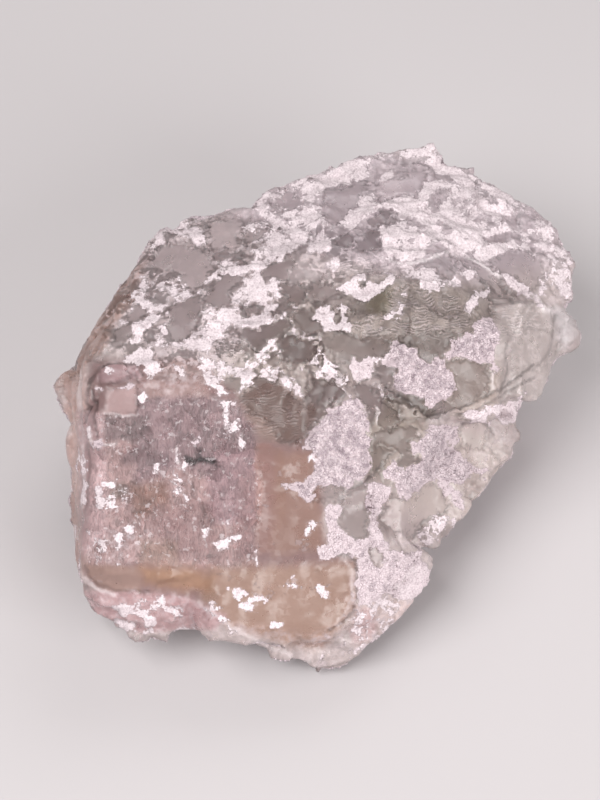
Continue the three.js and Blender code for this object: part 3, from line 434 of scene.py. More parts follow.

# Smooth flat windows of the crystal between the crust and the frosted parts, each with a rim darkened as
# painted shade and a tone from -1 for dark to 1 for light.
clearOutlines = [
    (0.3, [(-15.4, 15.2), (-14.6, 16), (-13.6, 16.3), (-12, 16.2), (-10.2, 16), (-9.7, 15.2), (-9.5, 14.4),
        (-9, 13.8), (-9.7, 12.9), (-10.2, 11.8), (-11.8, 11.7), (-12.1, 12.4), (-12.2, 13.3), (-13.4, 13.7),
        (-14.8, 13.8), (-15.7, 14.3)]),
    (-0.1, [(-10.1, 10.5), (-9.6, 11.8), (-8.6, 12.7), (-7.7, 13.3), (-6.5, 13.3), (-6.2, 12.7), (-6.9, 11.8),
        (-7.5, 11), (-7.8, 10.1), (-8.8, 9.7), (-9.8, 9.9)]),
    (-0.05, [(-13.8, 9.3), (-13.2, 9.9), (-12.2, 10.2), (-11.5, 10.8), (-10.4, 10.9), (-10.1, 10.1),
        (-10.6, 9.2), (-10.6, 8.2), (-10.9, 7.3), (-11.7, 6.7), (-12.7, 6.2), (-13.8, 6.4), (-14, 7.6),
        (-13.7, 8.4)]),
    (0.7, [(-16, 8.3), (-15.2, 8.6), (-14, 8.6), (-14, 8), (-14.9, 7.6), (-15.6, 7.2)]),
    (0.2, [(-18.4, 9), (-17.6, 9.9), (-16.4, 9.5), (-15.8, 8.9), (-17, 8.3), (-18.2, 8.2)]),
    (-0.1, [(-20, 6.9), (-19, 7.8), (-17.8, 7.4), (-17.9, 6.6), (-18.6, 6), (-19.6, 6.1)]),
    (0.45, [(-9.5, 16.3), (-9.3, 17.2), (-10.1, 18.3), (-9.3, 19.1), (-7, 19.3), (-5.9, 18.6), (-6.2, 17.4),
        (-6.2, 16.6), (-6.8, 16.1), (-8.6, 15.9)]),
    (0.4, [(-2.6, 19.5), (-3.1, 20.4), (-2.4, 21.5), (-1.4, 22.1), (-0.6, 21.9), (0.3, 21), (-0.3, 19.8),
        (-1.4, 20.1)]),
    (0.15, [(-6, 16.9), (-5.2, 17.9), (-4, 18.2), (-2, 18.2), (-3.2, 17.7), (-4, 17), (-5.2, 16.7)]),
    (-0.3, [(-9, 15.4), (-8, 15.6), (-6.6, 15.2), (-5.7, 14.4), (-6.2, 14.2), (-7, 14.8), (-8.4, 14.8),
        (-9.1, 14.6)]),
    (-0.2, [(-4, 13.9), (-2.6, 14.4), (-1.2, 15.2), (-0.4, 15.6), (-0.1, 14.9), (-0.8, 14.2), (-1.4, 13.6),
        (-1.4, 12.8), (-2.1, 12.4), (-3.2, 12.8), (-3.9, 13.2)]),
    (-0.4, [(-2.1, 12), (-1.4, 12.3), (-0.3, 12.3), (0.4, 11.4), (0.6, 10.6), (-0.2, 10.1), (-1.4, 10.2),
        (-1.6, 10.9), (-1.9, 11.5)]),
    (-0.5, [(-6, 7), (-4.6, 7.8), (-3.4, 8.3), (-1.4, 8.2), (-1, 7.4), (-1.8, 6.8), (-2.8, 6.8), (-3.6, 6),
        (-4.6, 5.1), (-5.2, 5.4), (-5.6, 6.2)]),
    (-0.6, [(-2.3, 5.9), (-1.4, 6.5), (0.2, 6.4), (1.2, 5.9), (1.5, 5), (1, 4.2), (-0.4, 4.4), (-2, 4.6),
        (-2.4, 5.2)]),
    (-0.45, [(-0.9, 8.6), (0, 9.4), (1.2, 9.6), (1.7, 9.1), (1.3, 8.5), (2.2, 8), (2.4, 7.4), (1.2, 7.1),
        (0.3, 7.2), (-0.2, 7.8)]),
    (-0.1, [(-7.9, 1.7), (-7.4, 2.2), (-6.8, 2.2), (-6.5, 1.5), (-6.8, 0.8), (-7.4, 0.8)]),
    (-0.4, [(-3.2, 8.6), (-3.1, 9.2), (-2.2, 9.7), (-1.2, 9.8), (-1.9, 9.1), (-2.2, 8.6)]),
    (-0.2, [(-5.9, 8.9), (-5.8, 9.7), (-4.6, 9.8), (-4.2, 9.1), (-5, 8.8)]),
    (-0.6, [(-6.3, 0), (-5.4, 1.4), (-4.6, 2.1), (-3.2, 2.2), (-2, 1.8), (-1.5, 0.8), (-0.6, 0.1), (0.6, 0.2),
        (1.2, 1.4), (0.9, 2.8), (2.2, 2), (2.4, 0.4), (2.6, -1.2), (1.6, -3.2), (0, -4.4), (-1.6, -4.2),
        (-2.6, -2.8), (-4.6, -1.8)]),
    (-0.2, [(0.4, 11), (1.4, 12), (3, 12.2), (4.2, 12.2), (4, 11.4), (5, 11.2), (4.4, 10.9), (2.6, 10.7),
        (1.4, 10.8)]),
    (0.35, [(2.1, 21.2), (3.4, 22), (5, 22.7), (6.6, 22.9), (7.2, 22.4), (6.4, 21.6), (6, 20.4), (5, 19.4),
        (4.4, 18.6), (3.2, 18.5), (2.8, 19.3), (2.3, 20.2)]),
    (0.65, [(6.8, 22.8), (8, 22.8), (9.6, 23.3), (11.4, 23.6), (12, 24.4), (12.8, 25), (13.4, 24.4),
        (13, 23.2), (12.4, 22.4), (12.6, 21.6), (10.2, 21.5), (8.8, 20.9), (8.5, 21.8), (7.6, 22)]),
    (-0.2, [(7.2, 19.2), (8, 19.8), (9.6, 19.9), (10.6, 19.2), (10.9, 18.7), (9, 18.6), (8.2, 18.2),
        (7.2, 18.2)]),
    (-0.35, [(3.9, 16.9), (4.4, 17.4), (5.4, 17.5), (6, 17), (5.8, 16.2), (4.4, 16)]),
    (-0.25, [(6.1, 16.6), (6.8, 17.4), (8, 17.8), (8.3, 16.8), (8.4, 15.9), (7.4, 15.7), (6.3, 15.8)]),
    (0.4, [(19.6, 14), (20.6, 15), (21.8, 15.4), (22.8, 15.9), (23.8, 15.6), (25, 14.7), (25.4, 13.6),
        (25.2, 12.4), (24.3, 11.5), (23.2, 12.3), (22.3, 13.2), (21, 13.3)]),
    (0.15, [(11.8, 14.3), (13.2, 14.4), (14.2, 14.8), (15.4, 15.2), (16.4, 15.1), (16.6, 14), (15.6, 12.8),
        (15, 13), (14.6, 13.7), (13.4, 14)]),
    (0.5, [(17.4, 15.2), (18.6, 14.5), (20, 13.2), (21.4, 11.8), (22.6, 10.7), (21.8, 10.4), (20.6, 11.2),
        (19.2, 12.6), (18.2, 13.8), (17, 14.2)]),
    (0.2, [(18.8, 10.6), (20, 10.8), (20.3, 9.8), (19.8, 8.9), (19.2, 8.5), (18.4, 8.4), (18.9, 9.6)]),
    (-0.4, [(5, 10.5), (6.8, 10.3), (7.8, 11), (9.2, 11.9), (9.6, 11), (9.2, 10), (8.6, 9.4), (7.6, 9),
        (5.8, 9), (5.2, 9.6)]),
    (-0.15, [(10.2, 6.2), (11.4, 5.9), (12.6, 4.9), (13.2, 4.2), (14.4, 4.2), (15.2, 5), (16, 5.4), (15.6, 6),
        (16.4, 6.9), (14, 7.2), (11.4, 7), (10.2, 6.9)]),
    (-0.2, [(3, 6.9), (5, 7), (6.6, 6.4), (9.2, 6.4), (9.7, 5.4), (8, 4.8), (6.8, 4.6), (5.5, 4.8),
        (5.2, 3.8), (4.4, 3.9), (3.4, 5), (2.6, 6.2)]),
    (-0.2, [(15.2, 4.2), (16.8, 4.5), (18.6, 4), (20, 3.5), (19.9, 2.4), (20.1, 1), (19.2, 0.4), (18, -0.5),
        (16.6, -0.6), (15.8, 0.3), (16.3, 1.3), (16, 2.4), (15.7, 3.3)]),
    (-0.4, [(8, 3.8), (9, 4.1), (9.9, 3.9), (10.4, 3.1), (9.9, 2.5), (9.8, 1.6), (9.2, 1.3), (8.3, 2),
        (8, 2.8)]),
    (-0.6, [(2.2, 1.2), (2.9, 2.1), (3.6, 2.1), (4.2, 1.4), (4.7, 0.5), (4, -0.2), (3.2, -0.6), (2.6, 0)]),
    (-0.4, [(5.5, 1.2), (6.1, 1.8), (7, 1.8), (7.8, 1.2), (8.4, 0.3), (8.6, -0.6), (7.8, -1.8), (7.3, -2.4),
        (7, -1.3), (6.4, -0.4), (5.6, 0.3)]),
    (-0.2, [(8.6, -0.4), (9.8, -1), (10.8, -2), (10.2, -2.8), (9, -2.9), (8.2, -2.4), (8.3, -1.3)]),
    (-0.35, [(7.8, -3.2), (8.9, -3.1), (11, -3.2), (11.8, -3), (13, -3.4), (11.9, -4.3), (11.3, -4.8),
        (11.9, -5.7), (12.3, -6.4), (11.2, -7.2), (10.5, -7), (10.1, -5.4), (9.6, -4.8), (8, -4.8),
        (9.4, -5.4), (9.2, -6.4), (8.5, -7.6), (7.8, -7.2), (7.4, -5.4), (7.6, -4.4)]),
    (0, [(4.2, -10.8), (5, -9.8), (6.8, -9), (6.9, -11), (7.2, -12.8), (6.8, -14), (5.8, -14.9), (5, -14.2),
        (4.2, -13.4)]),
    (0.4, [(9.2, -10), (10.6, -10.2), (11.6, -10.4), (12.4, -9.6), (13.8, -8.7), (15, -10), (15.8, -11),
        (14.8, -12), (13, -12.8), (12, -14.4), (10.6, -14), (9.4, -13.6), (8.6, -12.2), (9, -11)]),
    (-0.1, [(1.6, -9.3), (2.6, -9.1), (4.4, -9.3), (3.8, -10.4), (2.2, -10.8), (1.4, -10.3)]),
    (0.4, [(7, -15.4), (8.2, -15.6), (8.9, -16.3), (8.7, -17), (7.9, -17.4), (7.2, -16.8)]),
    (0.6, [(17, -2.4), (18.6, -2.2), (19.8, -3), (19.4, -4.4), (18.2, -5.4), (16.9, -4.8), (16.8, -3.4)]),
    (-0.35, [(10.2, -0.2), (11.6, -0.9), (12.9, -1.7), (14, -2.2), (15.6, -1.8), (16.8, -1.2), (17.8, -0.8),
        (16.4, -0.6), (15.4, 0.2), (14.6, -0.4), (13.8, -1.2), (12.8, -0.2), (11.6, 0.4), (10.4, 0.7),
        (9.2, 1), (9, 0.2)]),
]

crust = {
    "edgeWander": 0.16,  # mm, how far noise carries an outline's edge
    "wander": ((1.3, 1.0), (0.6, 0.9), (0.3, 0.9)),  # mm and strength of that noise
    "windowWander": 2.4,  # times as far for the smooth windows
    "fieldWander": 0.6,  # and for creases and the etched and rippled fields
    "edgeSoft": 0.4,  # mm over which the crust takes hold
    "thickness": 0.05,  # mm that a close crust stands above the bare crystal
    "grit": ((0.7, 0.012, 21), (0.36, 0.012, 22)),  # mm across, mm high and seed of the crust's bumps
    "closeCovers": (0.9, 0.98, 1.0, 1.08),  # where a crust starts to be close, is close, and opens again
    "windowCut": 0.95,  # share of the crust that the smooth windows take away
    "overWindows": 1.05,  # cover from which they don't
    "sideShare": 0.12,  # raises the share of crust on the sides and back
    "network": ((2.6, 0.275, 1), (1.2, 0.175, 2)),  # mm, strength and seed of its noise there
    "threads": (4.2, 0.34, 1.6, 7),  # mm between its threads there, their width, strength and seed
}


def facingOf(normals):
    # 1 on what the viewer sees, 0 round the sides and behind
    return smoothStep(normals @ outward, *fades["facing"])


def wandered(points, share):
    # a point's place on the viewer's plane, pulled about by three sizes of noise
    a, b = toPlane(points)
    pull = share * crust["edgeWander"]
    a = a + pull * sum(part * latticeNoise(points, size, 3) for size, part in crust["wander"])
    b = b + pull * sum(part * latticeNoise(points, size, 5) for size, part in crust["wander"])
    return a, b


def frontCrust(a, b):
    # the share of white crust that the outlines and their holes give, which fades in over a soft edge, and
    # the cover of the outline that gives the most
    soft = crust["edgeSoft"]
    best = np.zeros(len(a))
    cover = np.ones(len(a))
    for share, outline in crustOutlines:
        own = share * smoothStep(outlineDepth(a, b, outline), -soft, soft)
        cover = np.where(own > best, share, cover)
        best = np.maximum(best, own)
    for outline in windowOutlines:
        best *= 1 - smoothStep(outlineDepth(a, b, outline), -soft, soft)
    return np.minimum(best, 1), cover


def frontWindows(a, b):
    # how deep a point lies in the nearest smooth window, in mm, and that window's own tone from -1 to 1
    depth = np.full(len(a), -edgeReach)
    tone = np.zeros(len(a))
    for ownTone, outline in clearOutlines:
        own = outlineDepth(a, b, outline)
        tone = np.where(own > depth, ownTone, tone)
        depth = np.maximum(depth, own)
    return depth, tone


def creaseField(a, b):
    # each crease's tone, full on its line and gone at its half width
    total = np.zeros(len(a))
    for tone, width, line in creases:
        total += tone * (1 - smoothStep(lineDistance(a, b, line)[0] / width, *fades["crease"]))
    return np.clip(total, -1, 1)


def crustField(points, normals):
    # The share of white crust, from 0 to 1. In front it comes from the outlines, less the smooth windows, and
    # round the sides and behind it is a network of noise. The second value is how open the crust is.
    inFront, cover = frontCrust(*wandered(points, 1.0))
    depth = frontWindows(*wandered(points, crust["windowWander"]))[0]
    cut = crust["windowCut"] * smoothStep(depth, *fades["windowCut"]) * (cover < crust["overWindows"])
    network = layeredNoise(points, crust["network"])
    spacing, width, strength, seed = crust["threads"]
    threads = width - np.abs(latticeNoise(points, spacing, seed) + network)
    around = smoothStep(strength * threads + network + crust["sideShare"], *fades["network"])
    facing = facingOf(normals)
    starts, close, ends, opened = crust["closeCovers"]
    close = smoothStep(cover, starts, close) - smoothStep(cover, ends, opened)
    return facing * inFront * (1 - cut) + (1 - facing) * around, 1 - facing * close


# Broad faces that stay flat, as ellipses on the viewer's plane: their middle, half widths and turn.
calmFaces = [
    (-10.5, -10.5, 15.5, 14, 0), (-2.2, -20.2, 9.2, 6.2, 0), (17.8, 2.2, 3.4, 3.6, 0),
    (23.5, 4.5, 3.4, 6, -10), (20, -4, 3.2, 2.6, 0), (12.8, -11.6, 3, 3, -20), (4.9, -3.5, 3, 5, 10),
    (12.6, 2.4, 3.4, 3, -20),
]

# Areas of frosted crystal, mottled white and grey, as ellipses with the strength of the frost.
frostedAreas = [
    (-12, 11, 11, 10, 35, 0.75), (-1, 16, 6, 6.5, 0, 0.75), (12, 20, 17, 7, -5, 0.85),
    (27, 14, 3.6, 5, -20, 0.85), (24.5, 5, 4.6, 7, -10, 0.4), (18, -6.5, 7, 6.5, 30, 0.55),
    (10, -20.5, 4.6, 6.6, -25, 0.9), (4, -25.6, 5, 2, 20, 0.7), (-16, -22.4, 8, 2.4, -5, 0.7),
    (-4, -25.6, 9, 1.8, -10, 0.6), (-24, 0, 1.8, 10, 0, 0.5), (-3, 3.5, 5, 2.6, 0, 0.35),
    (-20, -15.4, 3.2, 2, 0, 0.5), (11, -2, 2.4, 1.4, -30, 0.6), (-7.5, 8, 3.4, 2.2, 25, 0.5),
]
# Areas where bare gaps lie between the flecks, as ellipses with how much of a gap they are.
brokenAreas = [
    (-12.5, 11.5, 9, 8.5, 35, 1), (-2, 11, 10, 8, 0, 1), (1, 5.2, 11, 4, 0, 1), (11, 19.5, 16, 6.5, -8, 0.3),
]

# The etched field inside the great cube's front, and the finely rippled one in the middle.
etchedOutlines = [
    (1, [(-21.4, -1.4), (-17.4, -1.6), (-16.6, 0.3), (-10, 0.6), (-7.4, 0.2), (-6.2, -0.8), (-4.4, -4.4),
        (-4.2, -8.6), (-4.5, -12.6), (-4.6, -17), (-8.6, -18), (-13, -17.3), (-22.6, -17.2), (-22.2, -9),
        (-21.4, -4.6)]),
    (0.55, [(4.8, 7.2), (8, 6.6), (16, 6.9), (18.4, 8), (19.6, 10.2), (17.6, 12.2), (12, 12.4), (9.8, 14.6),
        (6.4, 15.2), (3.6, 13.8), (5, 12.4), (4.6, 9.4)]),
]
rippledOutlines = [
    (0.8, [(5, 8.8), (8.6, 9.2), (10, 12.2), (12, 12.2), (14.6, 11.2), (17, 11.4), (17.6, 9.2), (18, 7.6),
        (16, 6.8), (10.2, 6.8), (8, 6.4), (5.4, 7.2)]),
    (0.7, [(4.2, 14.8), (8, 15.2), (9.6, 13.6), (7, 13), (4.6, 12.6), (3.4, 13.4)]),
    (0.5, [(20, 8.6), (21.6, 10.2), (24.6, 9.4), (25.6, 7.8), (23.4, 6.4), (21.4, 6.4)]),
    (0.4, [(-6, 2), (-2, 2), (0.6, 0), (2.6, -1.4), (0, -4.6), (-4.6, -3.8), (-6.4, -0.8)]),
    (0.6, [(-9, 6.2), (-6.4, 7.4), (-5.6, 5.4), (-7, 4.2), (-9.2, 4.6)]),
]

# Creases across the crystal, each a tone from -1 for a dark groove to 1 for a bright ridge, a half width in
# mm, and the line that it follows on the viewer's plane. A dark groove is darkened as painted shade, in
# places over a dark streak, and a bright ridge is a painted highlight.
creases = [
    (1, 0.22, [(9.4, 14.8), (11, 14.3), (13.2, 14.7), (15.4, 15.4), (17.2, 15.4), (18.8, 14.5),
        (20.9, 12.8)]),
    (1, 0.22, [(22.4, 12.4), (24.2, 11.3), (25.6, 9.6)]),
    (-0.7, 0.2, [(17.2, 14.2), (19, 12.8), (20.8, 11), (22.4, 10.3)]),
    (-0.9, 0.2, [(13.2, -1.7), (15.6, -1.4), (17, -0.9), (18.6, -0.2), (20, 0.6), (21.6, 1.4), (23, 2.4),
        (24.6, 3.8)]),
    (-0.7, 0.2, [(16.6, -1.9), (18.6, -1.1), (20.6, 0.1), (22.4, 1.2), (24.6, 2.4)]),
    (-0.7, 0.18, [(22, 6.2), (21.6, 5), (21.8, 3.6), (21.5, 2), (21.1, 1)]),
    (-0.5, 0.18, [(26.8, 8.6), (26.7, 6.6), (26.2, 5), (24.6, 3.2)]),
    (0.7, 0.2, [(20.2, 2.8), (20.2, 2.2), (20.4, 1.2)]), (0.4, 0.12, [(23.2, 10), (22.6, 8.6), (22.4, 7.2)]),
    (0.35, 0.12, [(24.4, 10), (23.4, 8.6), (22.8, 7)]), (0.3, 0.12, [(25.4, 9.6), (24.2, 8.4), (23.2, 6.9)]),
    (-0.4, 0.12, [(23.8, 9.9), (23, 8.6), (22.6, 7)]),
    (-0.3, 0.2, [(22.2, 6.8), (24, 7.6), (25.8, 7.4), (26.8, 6.6)]),
    (-0.8, 0.2, [(9.2, 1.2), (10.8, 0.2), (12.2, -0.9), (13.4, -1.8)]),
    (-0.8, 0.2, [(5, -9.5), (6.4, -8.9), (7.8, -7.9), (8.6, -6.8)]), (0.9, 0.2, [(8.1, -0.9), (8, -2.4)]),
    (0.8, 0.22, [(13.8, -8.3), (15.2, -9.6), (16.4, -11)]),
    (-0.5, 0.18, [(12, -14.4), (13, -12.9), (14.8, -12), (15.9, -11)]),
    (-0.6, 0.2, [(17, -2.6), (18.6, -2.1), (19.8, -2.8), (20.4, -3.6)]),
    (-0.5, 0.2, [(19.4, -4.6), (20.6, -5.6), (21.2, -7)]),
    # the great cube's rounded lower right edge
    (-0.8, 0.22, [(3.6, -16.3), (5, -16.1), (5.8, -16.9), (6, -18.8), (6, -20.8), (5.6, -22.4), (4.6, -23.4),
        (3.2, -24.2)]),
    (0.35, 0.22, [(4.8, -16.9), (5.4, -18), (5.5, -20.6), (5, -22.2), (4, -23.2)]),
    # the block on the great cube's upper left corner
    (-0.8, 0.2, [(-22, 1.8), (-21.2, 3.2), (-20.2, 3.9), (-17.2, 3.9), (-16.6, 2.6)]),
    (-0.6, 0.2, [(-20.2, 1.7), (-18.8, 2.1), (-17.6, 2.7), (-17, 1.9)]),
    (-0.5, 0.2, [(-17.2, 1.4), (-17, 0.2), (-17.1, -1.4)]),
    (0.5, 0.2, [(-20.6, -1.4), (-18.6, -1.6), (-17.3, -1.5)]),
    # the glassy strip down the great cube's left edge
    (0.5, 0.2, [(-22.9, -4.6), (-22.7, -6.4), (-22.6, -8.6), (-22.9, -11.4)]),
    (0.8, 0.22, [(-22.1, -3), (-21.9, -4.4)]), (0.6, 0.3, [(-23.1, 2.8), (-23.3, 1), (-23.2, -0.6)]),
    (0.5, 0.3, [(-24.6, -2), (-24.2, -3.6)]),
    (-0.9, 0.2, [(-22.1, 2), (-22.3, 0.4), (-22.2, -0.8), (-22.6, -2.4)]),
    (-0.9, 0.22, [(-21.8, 1), (-21.4, -0.8), (-21.6, -1.8), (-21.2, -4.2)]),
    (-0.5, 0.2, [(-22.4, -4.6), (-22.1, -6.6), (-22.2, -9), (-22.6, -12)]),
    (0.7, 0.22, [(-23.7, -13.4), (-23.6, -14.4)]),
    (0.6, 0.3, [(-23.6, -17.4), (-22.8, -18.7), (-21.4, -19.8), (-19.6, -20.5)]),
    (-0.5, 0.22, [(-22.6, -17.4), (-22.2, -18.4), (-21.2, -19.4), (-19.6, -20), (-16, -20.2)]),
    # the long lower edge
    (0.45, 0.3, [(-10.6, -21.2), (-9.6, -22.2), (-8.4, -22.9), (-7.2, -23.9), (-5.2, -24.9), (-3.6, -25.9),
        (-1, -26.8)]),
    # dark slots with painted shade and bright edges with painted highlights in the etched field
    (-0.85, 0.34, [(-11.9, -6.3), (-11.1, -6.2)]), (-0.85, 0.28, [(-10.7, -6.3), (-9.3, -6.6)]),
    (-0.6, 0.26, [(-10.9, -5), (-10.2, -5.2)]), (-0.8, 0.2, [(-8.9, -6.9), (-8.4, -7)]),
    (-0.7, 0.2, [(-16.9, -3.4), (-16.2, -4.2), (-15.8, -4.8)]), (-0.6, 0.2, [(-17.6, -11.7), (-15.6, -11.8)]),
    (-0.6, 0.2, [(-11.2, -8.8), (-11.3, -10)]), (-0.6, 0.2, [(-10.2, -10.8), (-10, -12.4)]),
    (0.8, 0.2, [(-13, -5), (-12.9, -6.6)]), (0.7, 0.2, [(-20.6, -4.7), (-19.4, -4.6)]),
    (0.7, 0.22, [(-8, -1.4), (-7.8, -2.8)]), (0.6, 0.2, [(-6.2, -3.8), (-6, -4.8)]),
]

fluorite = {
    "voxel": 0.63,  # mm between the skin's points, half of that in front and a quarter along rims and creases
    "fineFacing": 0.3,  # how squarely a face looks at the viewer, at least, to be cut finer
    "fineReach": 0.2,  # mm on either side of a rim that are cut finer
    "fineCrease": 0.05,  # tone of a crease, at least, to be cut finer
    "rounds": 1,  # times that the skin is smoothed, which rounds the cubes' edges
    "windowRounds": 12,  # times more in the smooth windows
    "seed": 11,
    "budCount": 700,
    "budSize": (0.7, 2.1),  # mm, edge of the small cubes that roughen the skin
    "budStandOut": (0.1, 0.45),  # mm
    "budUneven": (0.8, 1.2),  # how much one side may differ
    "budTurn": 14,  # degrees, how far a cube is turned from the lattice
    "budLikely": (0.35, -0.25),  # random part added to the share of crust, and what the sum has to pass
    "budAbove": 0.8,  # mm above the base, at least
    "budFloor": 0.05,  # mm above the base, for a cube's own lowest corners
    "dimples": ((1.7, 0.04, 25),),  # mm across, mm high and seed
    "slowNoise": ((2.0, 0.6, 26), (0.8, 0.4, 27)),  # mm, strength and seed of what breaks up frost and fields
    "frostNoise": 0.25,  # share of that in the frost
    "slowPull": 0.5,  # mm that it carries the edges of the etched and rippled fields
    # cobbles, the smaller growth steps and the etched field's blocks: mm across, mm high, share of the height
    # that is slope, and seed
    "lumps": {"step": (1.5, 0.1, 0.5, 50), "flake": (0.9, 0.06, 0.5, 60), "cobble": (4.2, 0.42, 0.5, 40)},
    "groove": 0.12,  # mm, depth of the joint between two cobbles
    "creaseHeight": 0.08,  # mm
    "rimDepth": 0.048,  # mm
    "rimMiddle": -0.02,  # mm inside a window's edge, below 0 outside it
    "calmShare": 0.93,  # share of the relief that a flat face is without
    "fieldSoft": {"etch": 0.35, "ripple": 0.5},  # mm over which the etched and rippled fields take hold
    "base": (0.25, -0.7),  # mm up, and how squarely down a point looks, below which it is laid flat
}

boxCorners = np.array([[x, y, z] for x in (-0.5, 0.5) for y in (-0.5, 0.5) for z in (-0.5, 0.5)])
boxFaces = np.array([[0, 1, 3, 2], [4, 6, 7, 5], [0, 4, 5, 1], [2, 3, 7, 6], [0, 2, 6, 4], [1, 5, 7, 3]])


def boxes(centres, sizes, turns):
    # one box for each centre: its corners scaled, turned and moved, all as one array
    points = np.einsum("nij,nkj->nki", turns, boxCorners[None] * sizes[:, None, :]) + centres[:, None, :]
    faces = boxFaces[None] + 8 * np.arange(len(centres))[:, None, None]
    return points.reshape(-1, 3), faces.reshape(-1, 4)


def meshFrom(name, points, faces):
    # a new piece from points in mm and faces that all have the same number of corners
    mesh = bpy.data.meshes.new(name)
    mesh.vertices.add(len(points))
    mesh.vertices.foreach_set("co", (points * mm).astype(np.float32).ravel())
    mesh.loops.add(faces.size)
    mesh.loops.foreach_set("vertex_index", faces.astype(np.int32).ravel())
    mesh.polygons.add(len(faces))
    mesh.polygons.foreach_set("loop_start", np.arange(0, faces.size, faces.shape[1], dtype=np.int32))
    mesh.update(calc_edges=True)
    piece = bpy.data.objects.new(name, mesh)
    bpy.context.scene.collection.objects.link(piece)
    return piece


def pointsOf(mesh):
    # a mesh's points in mm
    flat = np.empty(len(mesh.vertices) * 3, np.float32)
    mesh.vertices.foreach_get("co", flat)
    return flat.reshape(-1, 3).astype(float) / mm


def trianglesOf(mesh):
    # the numbers of each triangle's three points
    mesh.calc_loop_triangles()
    flat = np.empty(len(mesh.loop_triangles) * 3, np.int32)
    mesh.loop_triangles.foreach_get("vertices", flat)
    return flat.reshape(-1, 3)


def pointNormals(points, triangles):
    # each triangle's cross product, added at its three corners and brought to a length of 1
    corners = points[triangles]
    cross = np.cross(corners[:, 1] - corners[:, 0], corners[:, 2] - corners[:, 0])
    total = np.zeros_like(points)
    for k in range(3):
        for axis in range(3):
            total[:, axis] += np.bincount(triangles[:, k], cross[:, axis], len(points))
    return total / np.maximum(np.linalg.norm(total, axis=1, keepdims=True), 1e-12)


def scatterOn(points, triangles, count, chance, rng):
    # random places on the triangles, as likely as their area times the chance given to each, with the
    # triangles' normals and numbers
    corners = points[triangles]
    cross = np.cross(corners[:, 1] - corners[:, 0], corners[:, 2] - corners[:, 0])
    area = np.linalg.norm(cross, axis=1)
    share = np.cumsum(area * chance)
    pick = np.searchsorted(share, rng.random(count) * share[-1])
    r, s = rng.random((2, count))
    flip = r + s > 1
    r, s = np.where(flip, 1 - r, r), np.where(flip, 1 - s, s)
    first, second, third = corners[pick].transpose(1, 0, 2)
    place = first + r[:, None] * (second - first) + s[:, None] * (third - first)
    return place, cross[pick] / np.maximum(area[pick, None], 1e-12), pick


def smoothed(points, edges, rounds):
    # each round moves a point half of the way to the middle of its neighbours
    degree = np.bincount(edges.ravel(), minlength=len(points))[:, None]
    for _ in range(rounds):
        total = np.zeros_like(points)
        for axis in range(3):
            total[:, axis] = np.bincount(edges[:, 0], points[edges[:, 1], axis], len(points))
            total[:, axis] += np.bincount(edges[:, 1], points[edges[:, 0], axis], len(points))
        points = 0.5 * points + 0.5 * total / np.maximum(degree, 1)
    return points


def faceMiddles(mesh):
    # the middles, in mm, and the normals of all faces
    flat = np.empty((2, len(mesh.polygons) * 3), np.float32)
    mesh.polygons.foreach_get("center", flat[0])
    mesh.polygons.foreach_get("normal", flat[1])
    return flat[0].reshape(-1, 3).astype(float) / mm, flat[1].reshape(-1, 3).astype(float)


def cutFaces(mesh, chosen):
    # each chosen face is cut in four, and its neighbours are cut to match
    fine = bmesh.new()
    fine.from_mesh(mesh)
    fine.faces.ensure_lookup_table()
    edges = {edge for index in np.flatnonzero(chosen) for edge in fine.faces[index].edges}
    bmesh.ops.subdivide_edges(fine, edges=list(edges), cuts=1, use_grid_fill=True)
    bmesh.ops.triangulate(fine, faces=fine.faces)
    fine.to_mesh(mesh)
    fine.free()


def fineFront(mesh):
    # the faces that the viewer sees are cut once, and those on the windows' rims and the creases once more
    middles, normals = faceMiddles(mesh)
    cutFaces(mesh, normals @ outward > fluorite["fineFacing"])
    middles, normals = faceMiddles(mesh)
    a, b = wandered(middles, crust["windowWander"])
    need = np.abs(frontWindows(a, b)[0]) < fluorite["fineReach"]
    need |= np.abs(creaseField(a, b)) > fluorite["fineCrease"]
    cutFaces(mesh, need & (normals @ outward > fluorite["fineFacing"]))


def areaStrength(a, b, areas):
    # the strength of the strongest ellipse at a point, which fades across its edge
    best = np.zeros(len(a))
    for *shape, strength in areas:
        best = np.maximum(best, strength * smoothStep(1 - ellipsePlace(a, b, shape), *fades["area"]))
    return best


def outlineStrength(a, b, outlines, soft):
    # the strength of the strongest outline at a point, which fades over a soft edge in mm
    best = np.zeros(len(a))
    for strength, outline in outlines:
        best = np.maximum(best, strength * smoothStep(outlineDepth(a, b, outline), -soft, soft))
    return best


